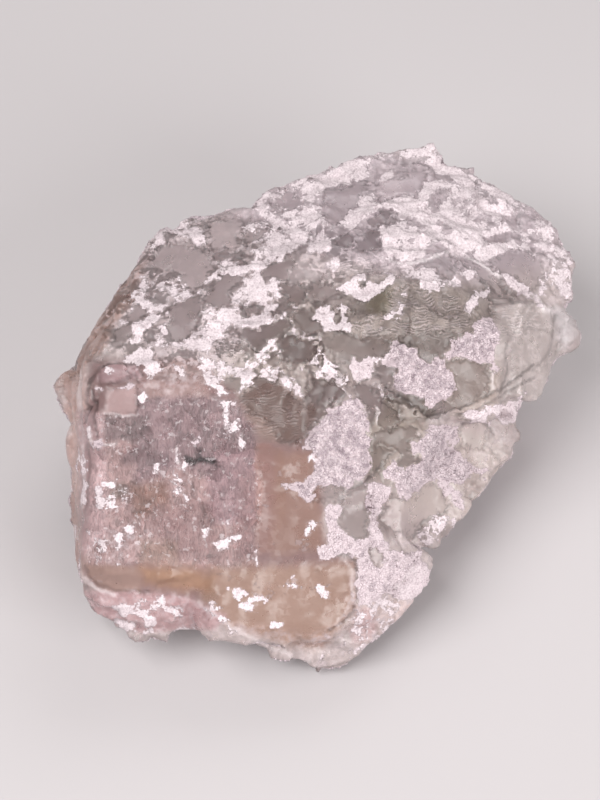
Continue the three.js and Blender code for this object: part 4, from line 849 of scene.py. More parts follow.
def surfaceFields(points, normals):
    # Every field that the relief and the colours share, from 0 to 1. Window tones, creases, cobbles, steps
    # and flakes are from -1 to 1. The cobbles come last, as theirs is the joint that is kept.
    a, b = wandered(points, crust["fieldWander"])
    facing = facingOf(normals)
    fields = {"facing": facing}
    fields["crust"], fields["open"] = crustField(points, normals)
    fields["isCrust"] = smoothStep(fields["crust"], *fades["isCrust"])
    bare = facing * (1 - fields["isCrust"])
    depth, fields["windowTone"] = frontWindows(*wandered(points, crust["windowWander"]))
    fields["clear"] = bare * smoothStep(depth, *fades["clear"])
    fields["rim"] = bare * (1 - smoothStep(np.abs(depth - fluorite["rimMiddle"]), *fades["rim"]))
    fields["crease"] = bare * creaseField(a, b)
    fields["calm"] = facing * smoothStep(reach(a, b, calmFaces), *fades["calm"])
    fields["calm"] = np.maximum(fields["calm"], fields["clear"])
    slow = layeredNoise(points, fluorite["slowNoise"])
    frost = areaStrength(a, b, frostedAreas)
    frost += fluorite["frostNoise"] * slow * smoothStep(frost, *fades["frost"])
    fields["frost"] = facing * (1 - fields["clear"]) * np.clip(frost, 0, 1)
    fields["gap"] = facing * areaStrength(a, b, brokenAreas)
    pull = fluorite["slowPull"] * slow
    for name, outlines in (("etch", etchedOutlines), ("ripple", rippledOutlines)):
        fields[name] = bare * outlineStrength(a + pull, b - pull, outlines, fluorite["fieldSoft"][name])
    for name, (size, _, slope, seed) in fluorite["lumps"].items():
        fields[name], fields["joint"] = facets(points, size, seed, slope)
    return fields


def budBoxes(points, triangles):
    # Small cubes set into the crystal's faces where the crust is likely, turned a little from its lattice.
    # The middle of each lies under the face by half of its edge, less what stands out.
    rng = np.random.default_rng(fluorite["seed"])
    count = fluorite["budCount"]
    place, normal, _ = scatterOn(points, triangles, count * 3, np.ones(len(triangles)), rng)
    field = crustField(place, normal)[0]
    loose, least = fluorite["budLikely"]
    likely = field + loose * rng.standard_normal(len(field)) > least
    kept = np.flatnonzero(likely & (place[:, 2] > fluorite["budAbove"]))[:count]
    place, normal, count = place[kept], normal[kept], len(kept)
    size = rng.uniform(*fluorite["budSize"], (count, 1)) * rng.uniform(*fluorite["budUneven"], (count, 3))
    turns = turnAbout(rng.normal(0, fluorite["budTurn"], (3, count)) + np.array(cubeLattice)[:, None])
    turns = np.einsum("ij,njk->nik", rowTurn, turns)
    standOut = rng.uniform(*fluorite["budStandOut"], (count, 1))
    sink = 0.5 * size.mean(1, keepdims=True) - standOut
    budPoints, budFaces = boxes(place - normal * sink, size, turns)
    budPoints[:, 2] = np.maximum(budPoints[:, 2], fluorite["budFloor"])
    return budPoints, budFaces


def crystalGrid():
    # the solid's own faces, merged, with the small cubes, made one skin on a grid of voxels
    copy = bmesh.new()
    copy.from_mesh(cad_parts["fluorite_cluster"].data)
    bmesh.ops.remove_doubles(copy, verts=copy.verts, dist=1e-6)
    solid = bpy.data.meshes.new("solidCopy")
    copy.to_mesh(solid)
    copy.free()
    points, triangles = pointsOf(solid), trianglesOf(solid)
    bpy.data.meshes.remove(solid)
    budPoints, budFaces = budBoxes(points, triangles)
    quads = budFaces + len(points)
    budTriangles = np.vstack([quads[:, [0, 1, 2]], quads[:, [0, 2, 3]]])
    raw = meshFrom("rawSkin", np.vstack([points, budPoints]), np.vstack([triangles, budTriangles]))
    remesh = raw.modifiers.new("grid", "REMESH")
    remesh.mode = "VOXEL"
    remesh.voxel_size = fluorite["voxel"] * mm
    grid = bpy.data.meshes.new_from_object(raw.evaluated_get(bpy.context.evaluated_depsgraph_get()))
    bpy.data.objects.remove(raw)
    return grid


def reliefOf(points, fields):
    # how far each point moves outwards, in mm: growth steps and cobbles with their joints, the etched field's
    # blocks, creases, window rims, dimples, and the crust's thickness with its grit
    rough = 1 - fluorite["calmShare"] * fields["calm"]
    height = {name: lump[1] for name, lump in fluorite["lumps"].items()}
    lift = rough * (height["cobble"] * fields["cobble"] + height["step"] * fields["step"])
    lift -= rough * fluorite["groove"] * (1 - smoothStep(fields["joint"], *fades["joint"]))
    lift += fields["etch"] * height["flake"] * fields["flake"]
    lift += fluorite["creaseHeight"] * fields["crease"] - fluorite["rimDepth"] * fields["rim"]
    lift += layeredNoise(points, fluorite["dimples"]) * rough
    lift += fields["isCrust"] * (crust["thickness"] + layeredNoise(points, crust["grit"]))
    return lift * smoothStep(points[:, 2], *fades["base"])


def growFluorite():
    # The grid's points are smoothed, those of the smooth windows far more, then moved along their normals by
    # the relief. What lies on the base stays flat.
    grid = crystalGrid()
    fineFront(grid)
    points, triangles = pointsOf(grid), trianglesOf(grid)
    edges = np.empty(len(grid.edges) * 2, np.int32)
    grid.edges.foreach_get("vertices", edges)
    edges = edges.reshape(-1, 2)
    points = smoothed(points, edges, fluorite["rounds"])
    depth = frontWindows(*wandered(points, crust["windowWander"]))[0]
    inWindow = (depth > 0) & (facingOf(pointNormals(points, triangles)) > 0.5)
    for _ in range(fluorite["windowRounds"]):
        points = np.where(inWindow[:, None], smoothed(points, edges, 1), points)
    normals = pointNormals(points, triangles)
    fields = surfaceFields(points, normals)
    points = points + normals * reliefOf(points, fields)[:, None]
    low, down = fluorite["base"]
    onBase = (points[:, 2] < low) & (normals[:, 2] < down)
    points[:, 2] = np.where(onBase, 0, np.maximum(points[:, 2], 0))
    grid.vertices.foreach_set("co", (points * mm).astype(np.float32).ravel())
    grid.polygons.foreach_set("use_smooth", np.ones(len(grid.polygons), bool))
    grid.update()
    for name in ("crust", "open", "frost", "gap", "etch", "ripple"):
        values = np.clip(fields[name], -1, 1).astype(np.float32)
        grid.attributes.new(name, "FLOAT", "POINT").data.foreach_set("value", values)
    grid.name = "fluoriteSkin"
    skin = bpy.data.objects.new("fluoriteSkin", grid)
    bpy.context.scene.collection.objects.link(skin)
    return skin, points, triangles, fields


skin, skinPoints, skinTriangles, skinFields = growFluorite()
print("fluorite skin:", len(skinTriangles), "triangles")

# Soft colour zones of the bare crystal on the viewer's plane, as ellipses with a colour and its strength.
colourZones = [
    (12, 8.8, 8, 4.6, 0, "#bfb0a8", 0.9), (-2, 5, 8, 6, 0, "#e6d6ce", 0.8),
    (10, -5, 3.6, 3.6, 0, "#e6d6c8", 0.8), (-10, 12, 10, 8, 30, "#f3dfe2", 0.7),
    (24, 4, 4, 7, 0, "#f2e4e0", 0.9), (18, 2, 3, 4, 0, "#f0dcd2", 0.9), (16, -8, 7, 5, 0, "#fbe9e2", 0.8),
    (10, 20, 19, 6.5, -10, "#efdce6", 0.7), (-23.6, -8, 1.8, 12, 0, "#fdd3c8", 0.8),
    (-21, 8, 1.5, 8, -35, "#cfa698", 0.8),  # reddish clay caught along the edge
]

# Colours of the great cube's parts, as outlines with a colour, its strength, the softness of its edge in mm
# and how much milkier than clear crystal the part is.
colourOutlines = [
    ("#b39392", 1, 0.6, 0.15, [(-22, 4.2), (-11, 4.4), (-6.4, 0.4), (2, -4.6), (3, -16), (6, -17), (6, -22),
        (2, -26), (-8, -23.6), (-22.6, -19.6), (-22.8, -4)]),
    ("#a1868a", 0.9, 0.7, 0, [(-17.4, 0.4), (-10, 0.8), (-6.4, -0.4), (-4.3, -4.2), (-4.2, -8.4), (-8, -9.4),
        (-12.2, -6.8), (-17.4, -9)]),
    ("#dbb9bb", 0.9, 0.5, 0.1, [(-23.4, -1), (-20.8, -1.6), (-20.2, -8), (-20.4, -14), (-23.2, -16.8)]),
    ("#d6b1b5", 0.9, 0.3, 0.1, [(-21.6, 2), (-20.2, 3.8), (-17, 3.8), (-16.6, 2.4), (-19, 1.8)]),
    ("#ddbcbb", 0.9, 0.3, 0.2, [(-20.4, 0.8), (-17.2, 1.4), (-17.2, -1.3), (-20.6, -1.3)]),
    ("#b99a97", 1, 0.4, 0.25, [(-15.8, 2.2), (-13, 4.2), (-11, 4.2), (-9.6, 1.4), (-9.4, 0.4), (-16.4, 0.2)]),
    ("#b59a91", 1, 0.7, 0.15, [(-6.4, 0.2), (-4.4, 2.1), (-2, 2), (0.6, 0), (2.4, -1), (0, -4.6),
        (-4.2, -4.2)]),
    ("#b39297", 0.9, 0.5, 0, [(-9.8, -5.4), (-5, -5), (-4.8, -12.6), (-9.6, -13)]),
    ("#9e786d", 0.8, 0.6, 0, [(-18, -8.8), (-14.2, -8.6), (-13.2, -11.8), (-17.2, -12.4)]),
    ("#a9847d", 0.9, 0.25, 0.4, [(-4.7, -4.4), (-1.8, -5), (-1.4, -12), (-3, -15.8), (-4.7, -16.4)]),
    ("#a98679", 0.8, 0.8, 0.48, [(-2.4, -5.4), (1.4, -5.2), (2.4, -12), (2.8, -16), (-3, -16.4)]),
    ("#bb9a8b", 0.9, 0.8, 0.48, [(-9.6, -17.6), (5.6, -17), (5.8, -22), (4.4, -24.2), (1.6, -26.2),
        (-2, -25.8), (-7.6, -23.6), (-10.4, -21)]),
    ("#a48484", 0.8, 0.8, 0, [(-15.6, -11.2), (-9.4, -10.4), (-8.8, -16.6), (-14.6, -17)]),
    ("#a58283", 0.8, 0.7, 0, [(-6.4, -7.6), (-4.6, -7.6), (-4.8, -16.2), (-6.6, -16.8)]),
    ("#a68981", 0.9, 0.6, 0.1, [(-17, -14.6), (-13, -15), (-12.8, -17.2), (-17, -17.2)]),
    ("#bd9c92", 1, 0.4, 0.3, [(-22.6, -17.3), (-16.8, -17.5), (-16.8, -20.2), (-20.2, -20.1),
        (-22.2, -18.6)]),
    ("#c79c83", 1, 0.8, 0.3, [(-17, -17.5), (-11.4, -17.6), (-9, -18.6), (-9.2, -20.2), (-12, -20),
        (-16.4, -19.4)]),
    ("#d8afb1", 0.9, 0.4, 0.15, [(-23, -20), (-12, -20.6), (-7.8, -22.6), (-8.8, -24.2), (-17, -24.4),
        (-22, -22.6)]),
    ("#ecd9da", 0.9, 0.4, 0.25, [(-1.4, 13.6), (-0.6, 14.2), (0, 15.2), (0.6, 15.8), (2.4, 15.6), (3.4, 14.6),
        (4.2, 13.6), (3.4, 12.7), (1.6, 12.6), (-0.6, 12.4), (-1.4, 12.8)]),
    ("#a2967f", 0.8, 0.3, 0, [(7, 9.1), (9, 9), (9.5, 10), (9.8, 11.6), (8.6, 11.9), (8, 11), (7, 10.3)]),
    ("#b5a79c", 0.9, 0.4, 0, [(8.7, 0.4), (11, 0.5), (13.6, -0.2), (14.4, -1.4), (12.8, -2.8), (10.2, -2.6),
        (8.7, -1.4)]),
    ("#fff4f5", 0.9, 0.5, 0.2, [(25.4, 9.8), (27.2, 9.8), (28.8, 9), (29.2, 7), (27.8, 5.2), (27, 6.8),
        (26.8, 8.4)]),
    ("#866d70", 0.8, 0.35, 0, [(-18.9, -5.9), (-17.2, -5.1), (-15.1, -5.2), (-15, -6.2), (-17, -6.4),
        (-18.6, -7)]),
    ("#8c7770", 0.8, 0.4, 0, [(-20.3, -9.2), (-18.4, -8.7), (-18.2, -10), (-19.6, -10.7)]),
    ("#866e73", 0.8, 0.3, 0, [(-14.9, -5.6), (-14, -5.8), (-13.6, -6.8), (-14.6, -7.1)]),
    ("#8a7577", 0.85, 0.4, 0, [(-20.8, -1.7), (-16.8, -1.5), (-15.8, -2.8), (-17, -4.4), (-20.4, -4.2)]),
    ("#4f4345", 0.95, 0.18, 0.1, [(-12.2, -5.8), (-11, -6.1), (-11, -5.2), (-10.5, -5.1), (-10.4, -6),
        (-9.3, -6), (-8.7, -6.7), (-10.2, -6.7), (-12, -6.9)]),
    ("#e3cac6", 0.9, 0.5, 0.3, [(6.2, -22.2), (7.4, -21.4), (9, -20.4), (10.6, -21.2), (12.6, -20.6),
        (10.4, -23.6), (8, -26.4), (7.6, -23.6)]),
    ("#c79f9f", 0.8, 0.5, 0.2, [(5.2, -24.2), (6.2, -22.2), (7.4, -21.6), (8, -23.4), (7.8, -25.2),
        (5.6, -25.8)]),
]

paint = {
    "ground": "#f4e2e0",
    "wanderAcross": ((3.0, 0.5, 31),),  # mm, strength in mm and seed of the noise that bends the colour zones
    "wanderUp": ((3.0, 0.5, 32),),
    "ridgeHighlight": ("#fbf0f1", 0.8),  # colour and strength of the painted highlight along the bright creases
    "lumps": {"cobble": 0.09, "step": 0.06},  # how much lighter or darker one is than its neighbours
    "patches": ((2.4, 0.08, 33), (0.8, 0.05, 36)),  # mm, strength and seed of the uneven tone
    "joint": 0.14,  # painted shade: how much darker the joints between cobbles are
    "window": 0.14,  # how much lighter or darker a window is by its tone
    "rim": 0.3,  # painted shade: how much darker the windows' rims are
    "crease": 0.55,  # and the dark creases: painted shade, in places over a dark streak
    "bareHaze": 0.26,  # the bare crystal's haze, which each of these adds to
    "haze": {"frost": 0.25, "etch": 0.3},
    "ridgeHaze": 0.5,
    "windowHaze": 0.3,
}


def paintSkin(piece, points, fields):
    # Each zone's colour is laid over the last, by its strength. Cobbles, steps and windows are each a little
    # lighter or darker than their neighbours. Rims and grooves are darkened as painted shade, and bright
    # creases get a painted highlight. Haze is the share of light that is scattered.
    a, b = toPlane(points)
    a = a + layeredNoise(points, paint["wanderAcross"])
    b = b + layeredNoise(points, paint["wanderUp"])
    tint = np.tile(hexColour(paint["ground"]), (len(points), 1))
    for *shape, colour, share in colourZones:
        strength = share * fields["facing"] * smoothStep(1 - ellipsePlace(a, b, shape), *fades["zone"])
        tint += strength[:, None] * (np.array(hexColour(colour)) - tint)
    a, b = wandered(points, 1.0)
    milk = np.zeros(len(a))
    for colour, share, soft, milky, outline in colourOutlines:
        strength = share * fields["facing"] * smoothStep(outlineDepth(a, b, outline), -soft, soft)
        tint += strength[:, None] * (np.array(hexColour(colour)) - tint)
        milk += strength * (milky - milk)
    tone = layeredNoise(points, paint["patches"])
    # painted shade in the joints between cobbles
    tone -= paint["joint"] * (1 - smoothStep(fields["joint"], *fades["jointShade"]))
    for name, strength in paint["lumps"].items():
        tone += strength * fields[name]
    tone = 1 + tone * (1 - fields["calm"]) + paint["window"] * fields["clear"] * fields["windowTone"]
    # painted shade on the windows' rims
    tone *= 1 - paint["rim"] * fields["rim"]
    # painted shade in the dark creases, in places over a dark streak
    tone *= 1 + paint["crease"] * np.minimum(fields["crease"], 0)
    tint = np.clip(tint * tone[:, None], 0, 1)
    # a painted highlight along the bright creases
    paintedHighlight = np.maximum(fields["crease"], 0)
    ridgeHighlight, strength = paint["ridgeHighlight"]
    tint += strength * paintedHighlight[:, None] * (np.array(hexColour(ridgeHighlight)) - tint)
    haze = paint["bareHaze"] + milk + paint["ridgeHaze"] * paintedHighlight
    haze += fields["clear"] * (paint["windowHaze"] * fields["windowTone"] - 0.02)
    for name, strength in paint["haze"].items():
        haze += strength * fields[name]
    tint[:, 3] = 1
    values = np.clip(tint, 0, 1).astype(np.float32)
    piece.data.attributes.new("tint", "FLOAT_COLOR", "POINT").data.foreach_set("color", values.ravel())
    haze = np.clip(haze, 0, 1).astype(np.float32)
    piece.data.attributes.new("haze", "FLOAT", "POINT").data.foreach_set("value", haze)


paintSkin(skin, skinPoints, skinFields)

# Fluorite: clear calcium fluoride, grown in water, its faces satin from fine growth steps, so light passes
# softened.
clearLook = {
    "refraction": 1.434,
    "absorption": ("#bdb0a8", 9.0),  # colour that passes least taken, and density per metre
    "satin": (0.24, 0.4),  # roughness between the smoothest and dullest places
    "crustRoughness": 0.75,
    "sugar": ("#9c8c91", "#bbabaf", "#dacdd0"),  # its gaps, its body where it is close, and where it is open
    "frost": "#a99c9f",
    # painted shade: how much darker a wholly hazy place is, as light doesn't come up through it, and the
    # bare gaps between the flecks and the ripples' troughs
    "shades": {"haze": 0.4, "gap": 0.2, "troughShade": 0.46},
    "hides": {"paintedGlint": 0.55, "crest": 0.7, "frost": 0.85, "isCrust": 1},  # how much each layer covers
    "clouds": {"gap": -0.2, "frost": 0.55, "crest": 0.3},  # how much haze each adds
    "veil": 0.65,  # strength of the thin crust round a close one
    "etchTones": (0.62, 1.34),  # how much darker and lighter the etched field's blocks and fibres are
    "outStretch": 0.45,  # share of the depth that the patterns follow, as flecks run on down the steep faces
    "fibre": (0.16, 0.9),  # mm, width and length of the etched field's drawn fibres
    "rippleStep": 0.3,  # mm from one ripple to the next
    "glint": (0.5, 0.16),  # mm, size of the small growth faces that each tilt their own way, and their tilt
    "relief": (0.14, 0.8),  # mm, and its strength
    # the values that become 0 and 1 in each ramp
    "ramps": {
        "fleck": (0.22, 0.78),
        "isCrust": (-0.02, 0.04),
        "crusted": (0.05, 0.35),
        "veil": (-0.24, 0),
        "frosted": (0.15, 0.5),
        "gap": (0, 0.08),
        "fibre": (0.3, 0.7),
        "etching": (0.25, 0.85),
        "crest": (0.62, 0.95),
        "troughShade": (0.5, 0.2),
    },
    "warps": {"bent": (1.6, 2, 1.1), "torn": (0.45, 3, 0.5)},  # noise that bends: mm, detail, mm moved
    # straight-edged cells, each with its own tone: how they are bent, their stretch, and their size in mm
    "cells": {
        "bigFleck": ("torn", (1, 1, 1), 1.2),
        "smallFleck": ("torn", (1, 1, 1), 0.45),
        "flake": ("bent", (1, 0.8, 1), 1.7),
        "chip": ("bent", (1.4, 0.9, 1), 0.6),
    },
    # mottlings: their size in mm, detail, roughness, and the noise's values that become 0 and 1
    "mottles": {
        "uneven": (1.6, 6, 0.7, 0.3, 0.7),
        "speck": (0.2, 2, 0.5, 0.3, 0.6),
        "frosting": (0.8, 6, 0.68, 0.44, 0.62),
        "paintedGlint": (0.6, 3, 0.6, 0.6, 0.64),
        "rippled": (0.8, 3, 0.5, 0.4, 0.56),
        "satin": (1.4, 4, 0.5, 0.3, 0.7),
        "grit": (0.25, 3, 0.5, 0, 1),
    },
    # patterns that are sums of others, each with its share
    "mixtures": {
        "fleck": (("bigFleck", 0.3), ("smallFleck", 0.22), ("uneven", 0.48)),
        "etching": (("flake", 0.4), ("chip", 0.3), ("fibre", 0.45)),
    },
}


def fluoriteMaterial():
    # Satin crystal: sheen over a see-through body. Frost, etching and ripples each break it up in their own
    # way, and the sugar crust lies over all of them.
    look = clearLook
    material = bpy.data.materials.new("satin clear fluorite with sugar crust")
    material.use_nodes = True
    tree = material.node_tree
    tree.nodes.clear()
    ends = {name: {"From Min": low, "From Max": high} for name, (low, high) in look["ramps"].items()}
    value = {}
    for name in ("crust", "open", "frost", "gap", "etch", "ripple", "haze", "tint"):
        kind = "Color" if name == "tint" else "Fac"
        value[name] = addNode(tree, "Attribute", output=kind, attribute_name=name)

    # where patterns are read: turned to the front with the depth drawn together, then along the lattice
    place = addNode(tree, "TexCoord", output="Object")
    toFront = Matrix(rowTurn.T.tolist()).to_euler()
    upright = addNode(tree, "Mapping", {"Vector": place, "Rotation": toFront})
    spot = addNode(tree, "VectorMath", {0: upright, 1: (1, 1, look["outStretch"])}, operation="MULTIPLY")
    toLattice = Matrix((latticeTurn.T @ rowTurn).tolist()).to_euler()
    lattice = addNode(tree, "Mapping", {"Vector": spot, "Rotation": toLattice})

    # the patterns that the parts share
    tone, raw = {}, {}
    for name, (size, detail, pull) in look["warps"].items():
        noise = {"Vector": lattice, "Scale": 1 / (size * mm), "Detail": detail}
        noise = addNode(tree, "TexNoise", noise, "Color")
        pulled = {0: noise, 1: (pull * mm,) * 3, 2: lattice}
        raw[name] = addNode(tree, "VectorMath", pulled, operation="MULTIPLY_ADD")
    for name, (warp, stretch, size) in look["cells"].items():
        stretched = addNode(tree, "VectorMath", {0: raw[warp], 1: stretch}, operation="MULTIPLY")
        cells = {"Vector": stretched, "Scale": 1 / (size * mm)}
        cells = addNode(tree, "TexVoronoi", cells, "Color", distance="CHEBYCHEV")
        tone[name] = addNode(tree, "SeparateColor", {0: cells})
    for name, (size, detail, roughness, low, high) in look["mottles"].items():
        mottle = {"Vector": spot, "Scale": 1 / (size * mm), "Detail": detail, "Roughness": roughness}
        raw[name] = addNode(tree, "TexNoise", mottle)
        tone[name] = addNode(tree, "MapRange", {"Value": raw[name], "From Min": low, "From Max": high})
    across, along = (1 / (size * mm) for size in look["fibre"])
    drawn = addNode(tree, "VectorMath", {0: raw["bent"], 1: (across, along, across)}, operation="MULTIPLY")
    fibre = addNode(tree, "TexNoise", {"Vector": drawn, "Scale": 1, "Detail": 3})
    tone["fibre"] = addNode(tree, "MapRange", {"Value": fibre, **ends["fibre"]})
    for name, parts in look["mixtures"].items():
        tone[name] = 0
        for part, share in parts:
            weighed = {0: tone[part], 1: share, 2: tone[name]}
            tone[name] = addNode(tree, "Math", weighed, operation="MULTIPLY_ADD")

    # the crust where the flecks and its share together pass 1, a veil round it, and bare gaps furthest away
    fleck = addNode(tree, "MapRange", {"Value": tone["fleck"], "To Min": -1, "To Max": 0, **ends["fleck"]})
    excess = addNode(tree, "Math", {0: fleck, 1: value["crust"]}, operation="ADD")
    isCrust = addNode(tree, "MapRange", {"Value": excess, **ends["isCrust"]})
    crusted = addNode(tree, "MapRange", {"Value": value["crust"], **ends["crusted"]})
    veil = addNode(tree, "MapRange", {"Value": excess, "To Max": look["veil"], **ends["veil"]})
    veil = addNode(tree, "Math", {0: veil, 1: crusted}, operation="MULTIPLY")
    frosted = addNode(tree, "MapRange", {"Value": value["frost"], **ends["frosted"]})
    broken = addNode(tree, "Math", {0: crusted, 1: frosted}, operation="MAXIMUM")
    broken = addNode(tree, "Math", {0: value["gap"], 1: broken}, operation="MULTIPLY")
    gap = addNode(tree, "Math", {0: crusted, 1: 0.3, 2: -0.42}, operation="MULTIPLY_ADD")
    gap = addNode(tree, "Math", {0: gap, 1: excess}, operation="SUBTRACT")
    gap = addNode(tree, "MapRange", {"Value": gap, **ends["gap"]})
    gap = addNode(tree, "Math", {0: gap, 1: broken}, operation="MULTIPLY")

    # sugar: specks of shade between its small cubes
    speck = addNode(tree, "Math", {0: tone["speck"], 1: 0.6, 2: 0.5}, operation="MULTIPLY_ADD")
    speck = addNode(tree, "Math", {0: tone["smallFleck"], 1: -0.25, 2: speck}, operation="MULTIPLY_ADD")
    gapSugar, closeSugar, openSugar = (hexColour(colour) for colour in look["sugar"])
    body = addNode(tree, "Mix", {0: value["open"], 6: closeSugar, 7: openSugar}, 2, data_type="RGBA")
    sugar = addNode(tree, "Mix", {0: speck, 6: gapSugar, 7: body}, 2, data_type="RGBA")

    # frost: a fine mottling and the veil, broken by the gaps
    frost = addNode(tree, "Math", {0: tone["frosting"], 1: value["frost"]}, operation="MULTIPLY")
    frost = addNode(tree, "Math", {0: frost, 1: veil}, operation="MAXIMUM")
    unbroken = addNode(tree, "Math", {0: gap, 1: -0.85, 2: 1}, operation="MULTIPLY_ADD")
    frost = addNode(tree, "Math", {0: frost, 1: unbroken}, operation="MULTIPLY")

    # etching: blocks of two sizes and drawn fibres, with white chips that are painted glints
    darkest, lightest = look["etchTones"]
    etchTone = {"Value": tone["etching"], "To Min": darkest - 1, "To Max": lightest - 1, **ends["etching"]}
    etchTone = addNode(tree, "MapRange", etchTone)
    etchTone = addNode(tree, "Math", {0: etchTone, 1: value["etch"], 2: 1}, operation="MULTIPLY_ADD")
    # painted glints: white chips scattered over the etched field
    paintedGlint = addNode(tree, "Math", {0: tone["paintedGlint"], 1: value["etch"]}, operation="MULTIPLY")

    # ripples: wavering bands that come and go, each with a painted glint on its crest and painted shade in
    # its trough
    waveLength = 0.314  # of the wave node at a scale of 1
    bands = {"Vector": raw["bent"], "Scale": waveLength / (look["rippleStep"] * mm)}
    bands.update({"Distortion": 8, "Detail": 4, "Detail Scale": 0.9})
    ripple = addNode(tree, "TexWave", bands, "Fac", bands_direction="Y")
    rippled = addNode(tree, "Math", {0: tone["rippled"], 1: value["ripple"]}, operation="MULTIPLY")
    crest = addNode(tree, "MapRange", {"Value": ripple, **ends["crest"]})
    crest = addNode(tree, "Math", {0: crest, 1: rippled}, operation="MULTIPLY")
    troughShade = addNode(tree, "MapRange", {"Value": ripple, **ends["troughShade"]})
    troughShade = addNode(tree, "Math", {0: troughShade, 1: rippled}, operation="MULTIPLY")

    # the colour: the painted tint, shaded by each of these and by painted shade, under the painted glints of
    # chips and crests, frost and sugar
    muted = addNode(tree, "Math", {0: tone["smallFleck"], 1: 0.3, 2: -0.15}, operation="MULTIPLY_ADD")
    muted = addNode(tree, "Math", {0: muted, 1: value["frost"], 2: 1}, operation="MULTIPLY_ADD")
    muted = addNode(tree, "Math", {0: muted, 1: etchTone}, operation="MULTIPLY")
    part = {"haze": value["haze"], "gap": gap, "troughShade": troughShade}
    part.update({"paintedGlint": paintedGlint, "crest": crest, "frost": frost, "isCrust": isCrust})
    # painted shade from haze, the bare gaps between the flecks and the ripples' troughs
    for name, depth in look["shades"].items():
        shade = addNode(tree, "Math", {0: part[name], 1: -depth, 2: 1}, operation="MULTIPLY_ADD")
        muted = addNode(tree, "Math", {0: muted, 1: shade}, operation="MULTIPLY")
    colour = addNode(tree, "VectorMath", {0: value["tint"], "Scale": muted}, operation="SCALE")
    over = {"paintedGlint": openSugar, "crest": closeSugar, "frost": hexColour(look["frost"]), "isCrust": sugar}
    for name, most in look["hides"].items():
        share = addNode(tree, "Math", {0: part[name], 1: most}, operation="MULTIPLY")
        colour = addNode(tree, "Mix", {0: share, 6: colour, 7: over[name]}, 2, data_type="RGBA")

    # how clear it is, and how smooth
    cloudy = value["haze"]
    for name, share in look["clouds"].items():
        cloudy = addNode(tree, "Math", {0: part[name], 1: share, 2: cloudy}, operation="MULTIPLY_ADD")
    covered = addNode(tree, "Math", {0: cloudy, 1: isCrust}, operation="MAXIMUM")
    clear = addNode(tree, "Math", {0: 1, 1: covered}, operation="SUBTRACT", use_clamp=True)
    smoothest, dullest = look["satin"]
    satin = addNode(tree, "MapRange", {"Value": tone["satin"], "To Min": smoothest, "To Max": dullest})
    rough = addNode(tree, "Mix", {0: isCrust, 2: satin, 3: look["crustRoughness"]}, 0, data_type="FLOAT")

    # small growth faces that each tilt their own way, and the relief of crust, frost, etching and ripples
    size, tilt = look["glint"]
    faces = {"Vector": raw["bent"], "Scale": 1 / (size * mm)}
    faces = addNode(tree, "TexVoronoi", faces, "Color", distance="CHEBYCHEV")
    centring = {0: faces, 1: (tilt,) * 3, 2: (-0.5 * tilt,) * 3}
    tilted = addNode(tree, "VectorMath", centring, operation="MULTIPLY_ADD")
    normal = addNode(tree, "NewGeometry", output="Normal")
    tilted = addNode(tree, "VectorMath", {0: normal, 1: tilted}, operation="ADD")
    tilted = addNode(tree, "VectorMath", {0: tilted}, operation="NORMALIZE")
    grit = addNode(tree, "Math", {0: raw["grit"], 1: 0.6, 2: 0.8}, operation="MULTIPLY_ADD")
    swell = addNode(tree, "Math", {0: ripple, 1: 0.6}, operation="MULTIPLY")
    height = 0
    raised = ((grit, isCrust), (raw["frosting"], value["frost"]))
    raised += ((tone["etching"], value["etch"]), (swell, rippled))
    for bumps, where in raised:
        height = addNode(tree, "Math", {0: bumps, 1: where, 2: height}, operation="MULTIPLY_ADD")
    deep, strength = look["relief"]
    relief = {"Distance": deep * mm, "Strength": strength, "Height": height, "Normal": tilted}
    bump = addNode(tree, "Bump", relief)

    glass = {"Base Color": colour, "Roughness": rough, "Transmission Weight": clear, "Normal": bump}
    surface = addNode(tree, "BsdfPrincipled", {"IOR": look["refraction"], **glass})
    paling, density = look["absorption"]
    depth = addNode(tree, "VolumeAbsorption", {"Color": hexColour(paling), "Density": density})
    addNode(tree, "OutputMaterial", {"Surface": surface, "Volume": depth})
    return material


skin.data.materials.clear()
skin.data.materials.append(fluoriteMaterial())
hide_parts("fluorite_cluster")
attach(skin, "root")

grains = {
    "seed": 23,
    "count": 70000,  # places tried, of which those too low are left out
    "edge": (0.14, 0.24),  # mm, edge of a sugar cube
    "uneven": (0.75, 1.25),  # how much one side may differ
    "above": 0.3,  # mm above the base, at least
    "floor": 0.02,  # mm above the base, for a cube's own lowest corners
    "sunk": 0.68,  # share of the edge that is below the crust
    "closeCrust": (0.75, 0.98),  # shares of crust between which grains start to lie and lie closest
    "piecesOf": 13000,  # grains to a mesh
    "colours": ("#85757c", "#cdbec2"),  # the most shaded and the whitest, a grain's tone from 0 to 1
    "tone": (0.1, 0.75, 0.9),  # the least, the random part, and what is added where the crust is open
    "toneNoise": ((0.4, 0.9, 31),),  # mm, strength and seed of the random part's own noise
    "roughness": 0.3,
}


def sugarMaterial():
    # Sugar druse: a skin of tiny fluorite cubes, whose many faces scatter the light to white, with small
    # glints.
    material = bpy.data.materials.new("white sugar druse")
    material.use_nodes = True
    tree = material.node_tree
    tree.nodes.clear()
    tone = addNode(tree, "Attribute", output="Fac", attribute_name="tone")
    shade, white = (hexColour(colour) for colour in grains["colours"])
    colour = addNode(tree, "Mix", {0: tone, 6: shade, 7: white}, 2, data_type="RGBA")
    look = {"IOR": clearLook["refraction"], "Roughness": grains["roughness"]}
    surface = addNode(tree, "BsdfPrincipled", {"Base Color": colour, **look})
    addNode(tree, "OutputMaterial", {"Surface": surface})
    return material


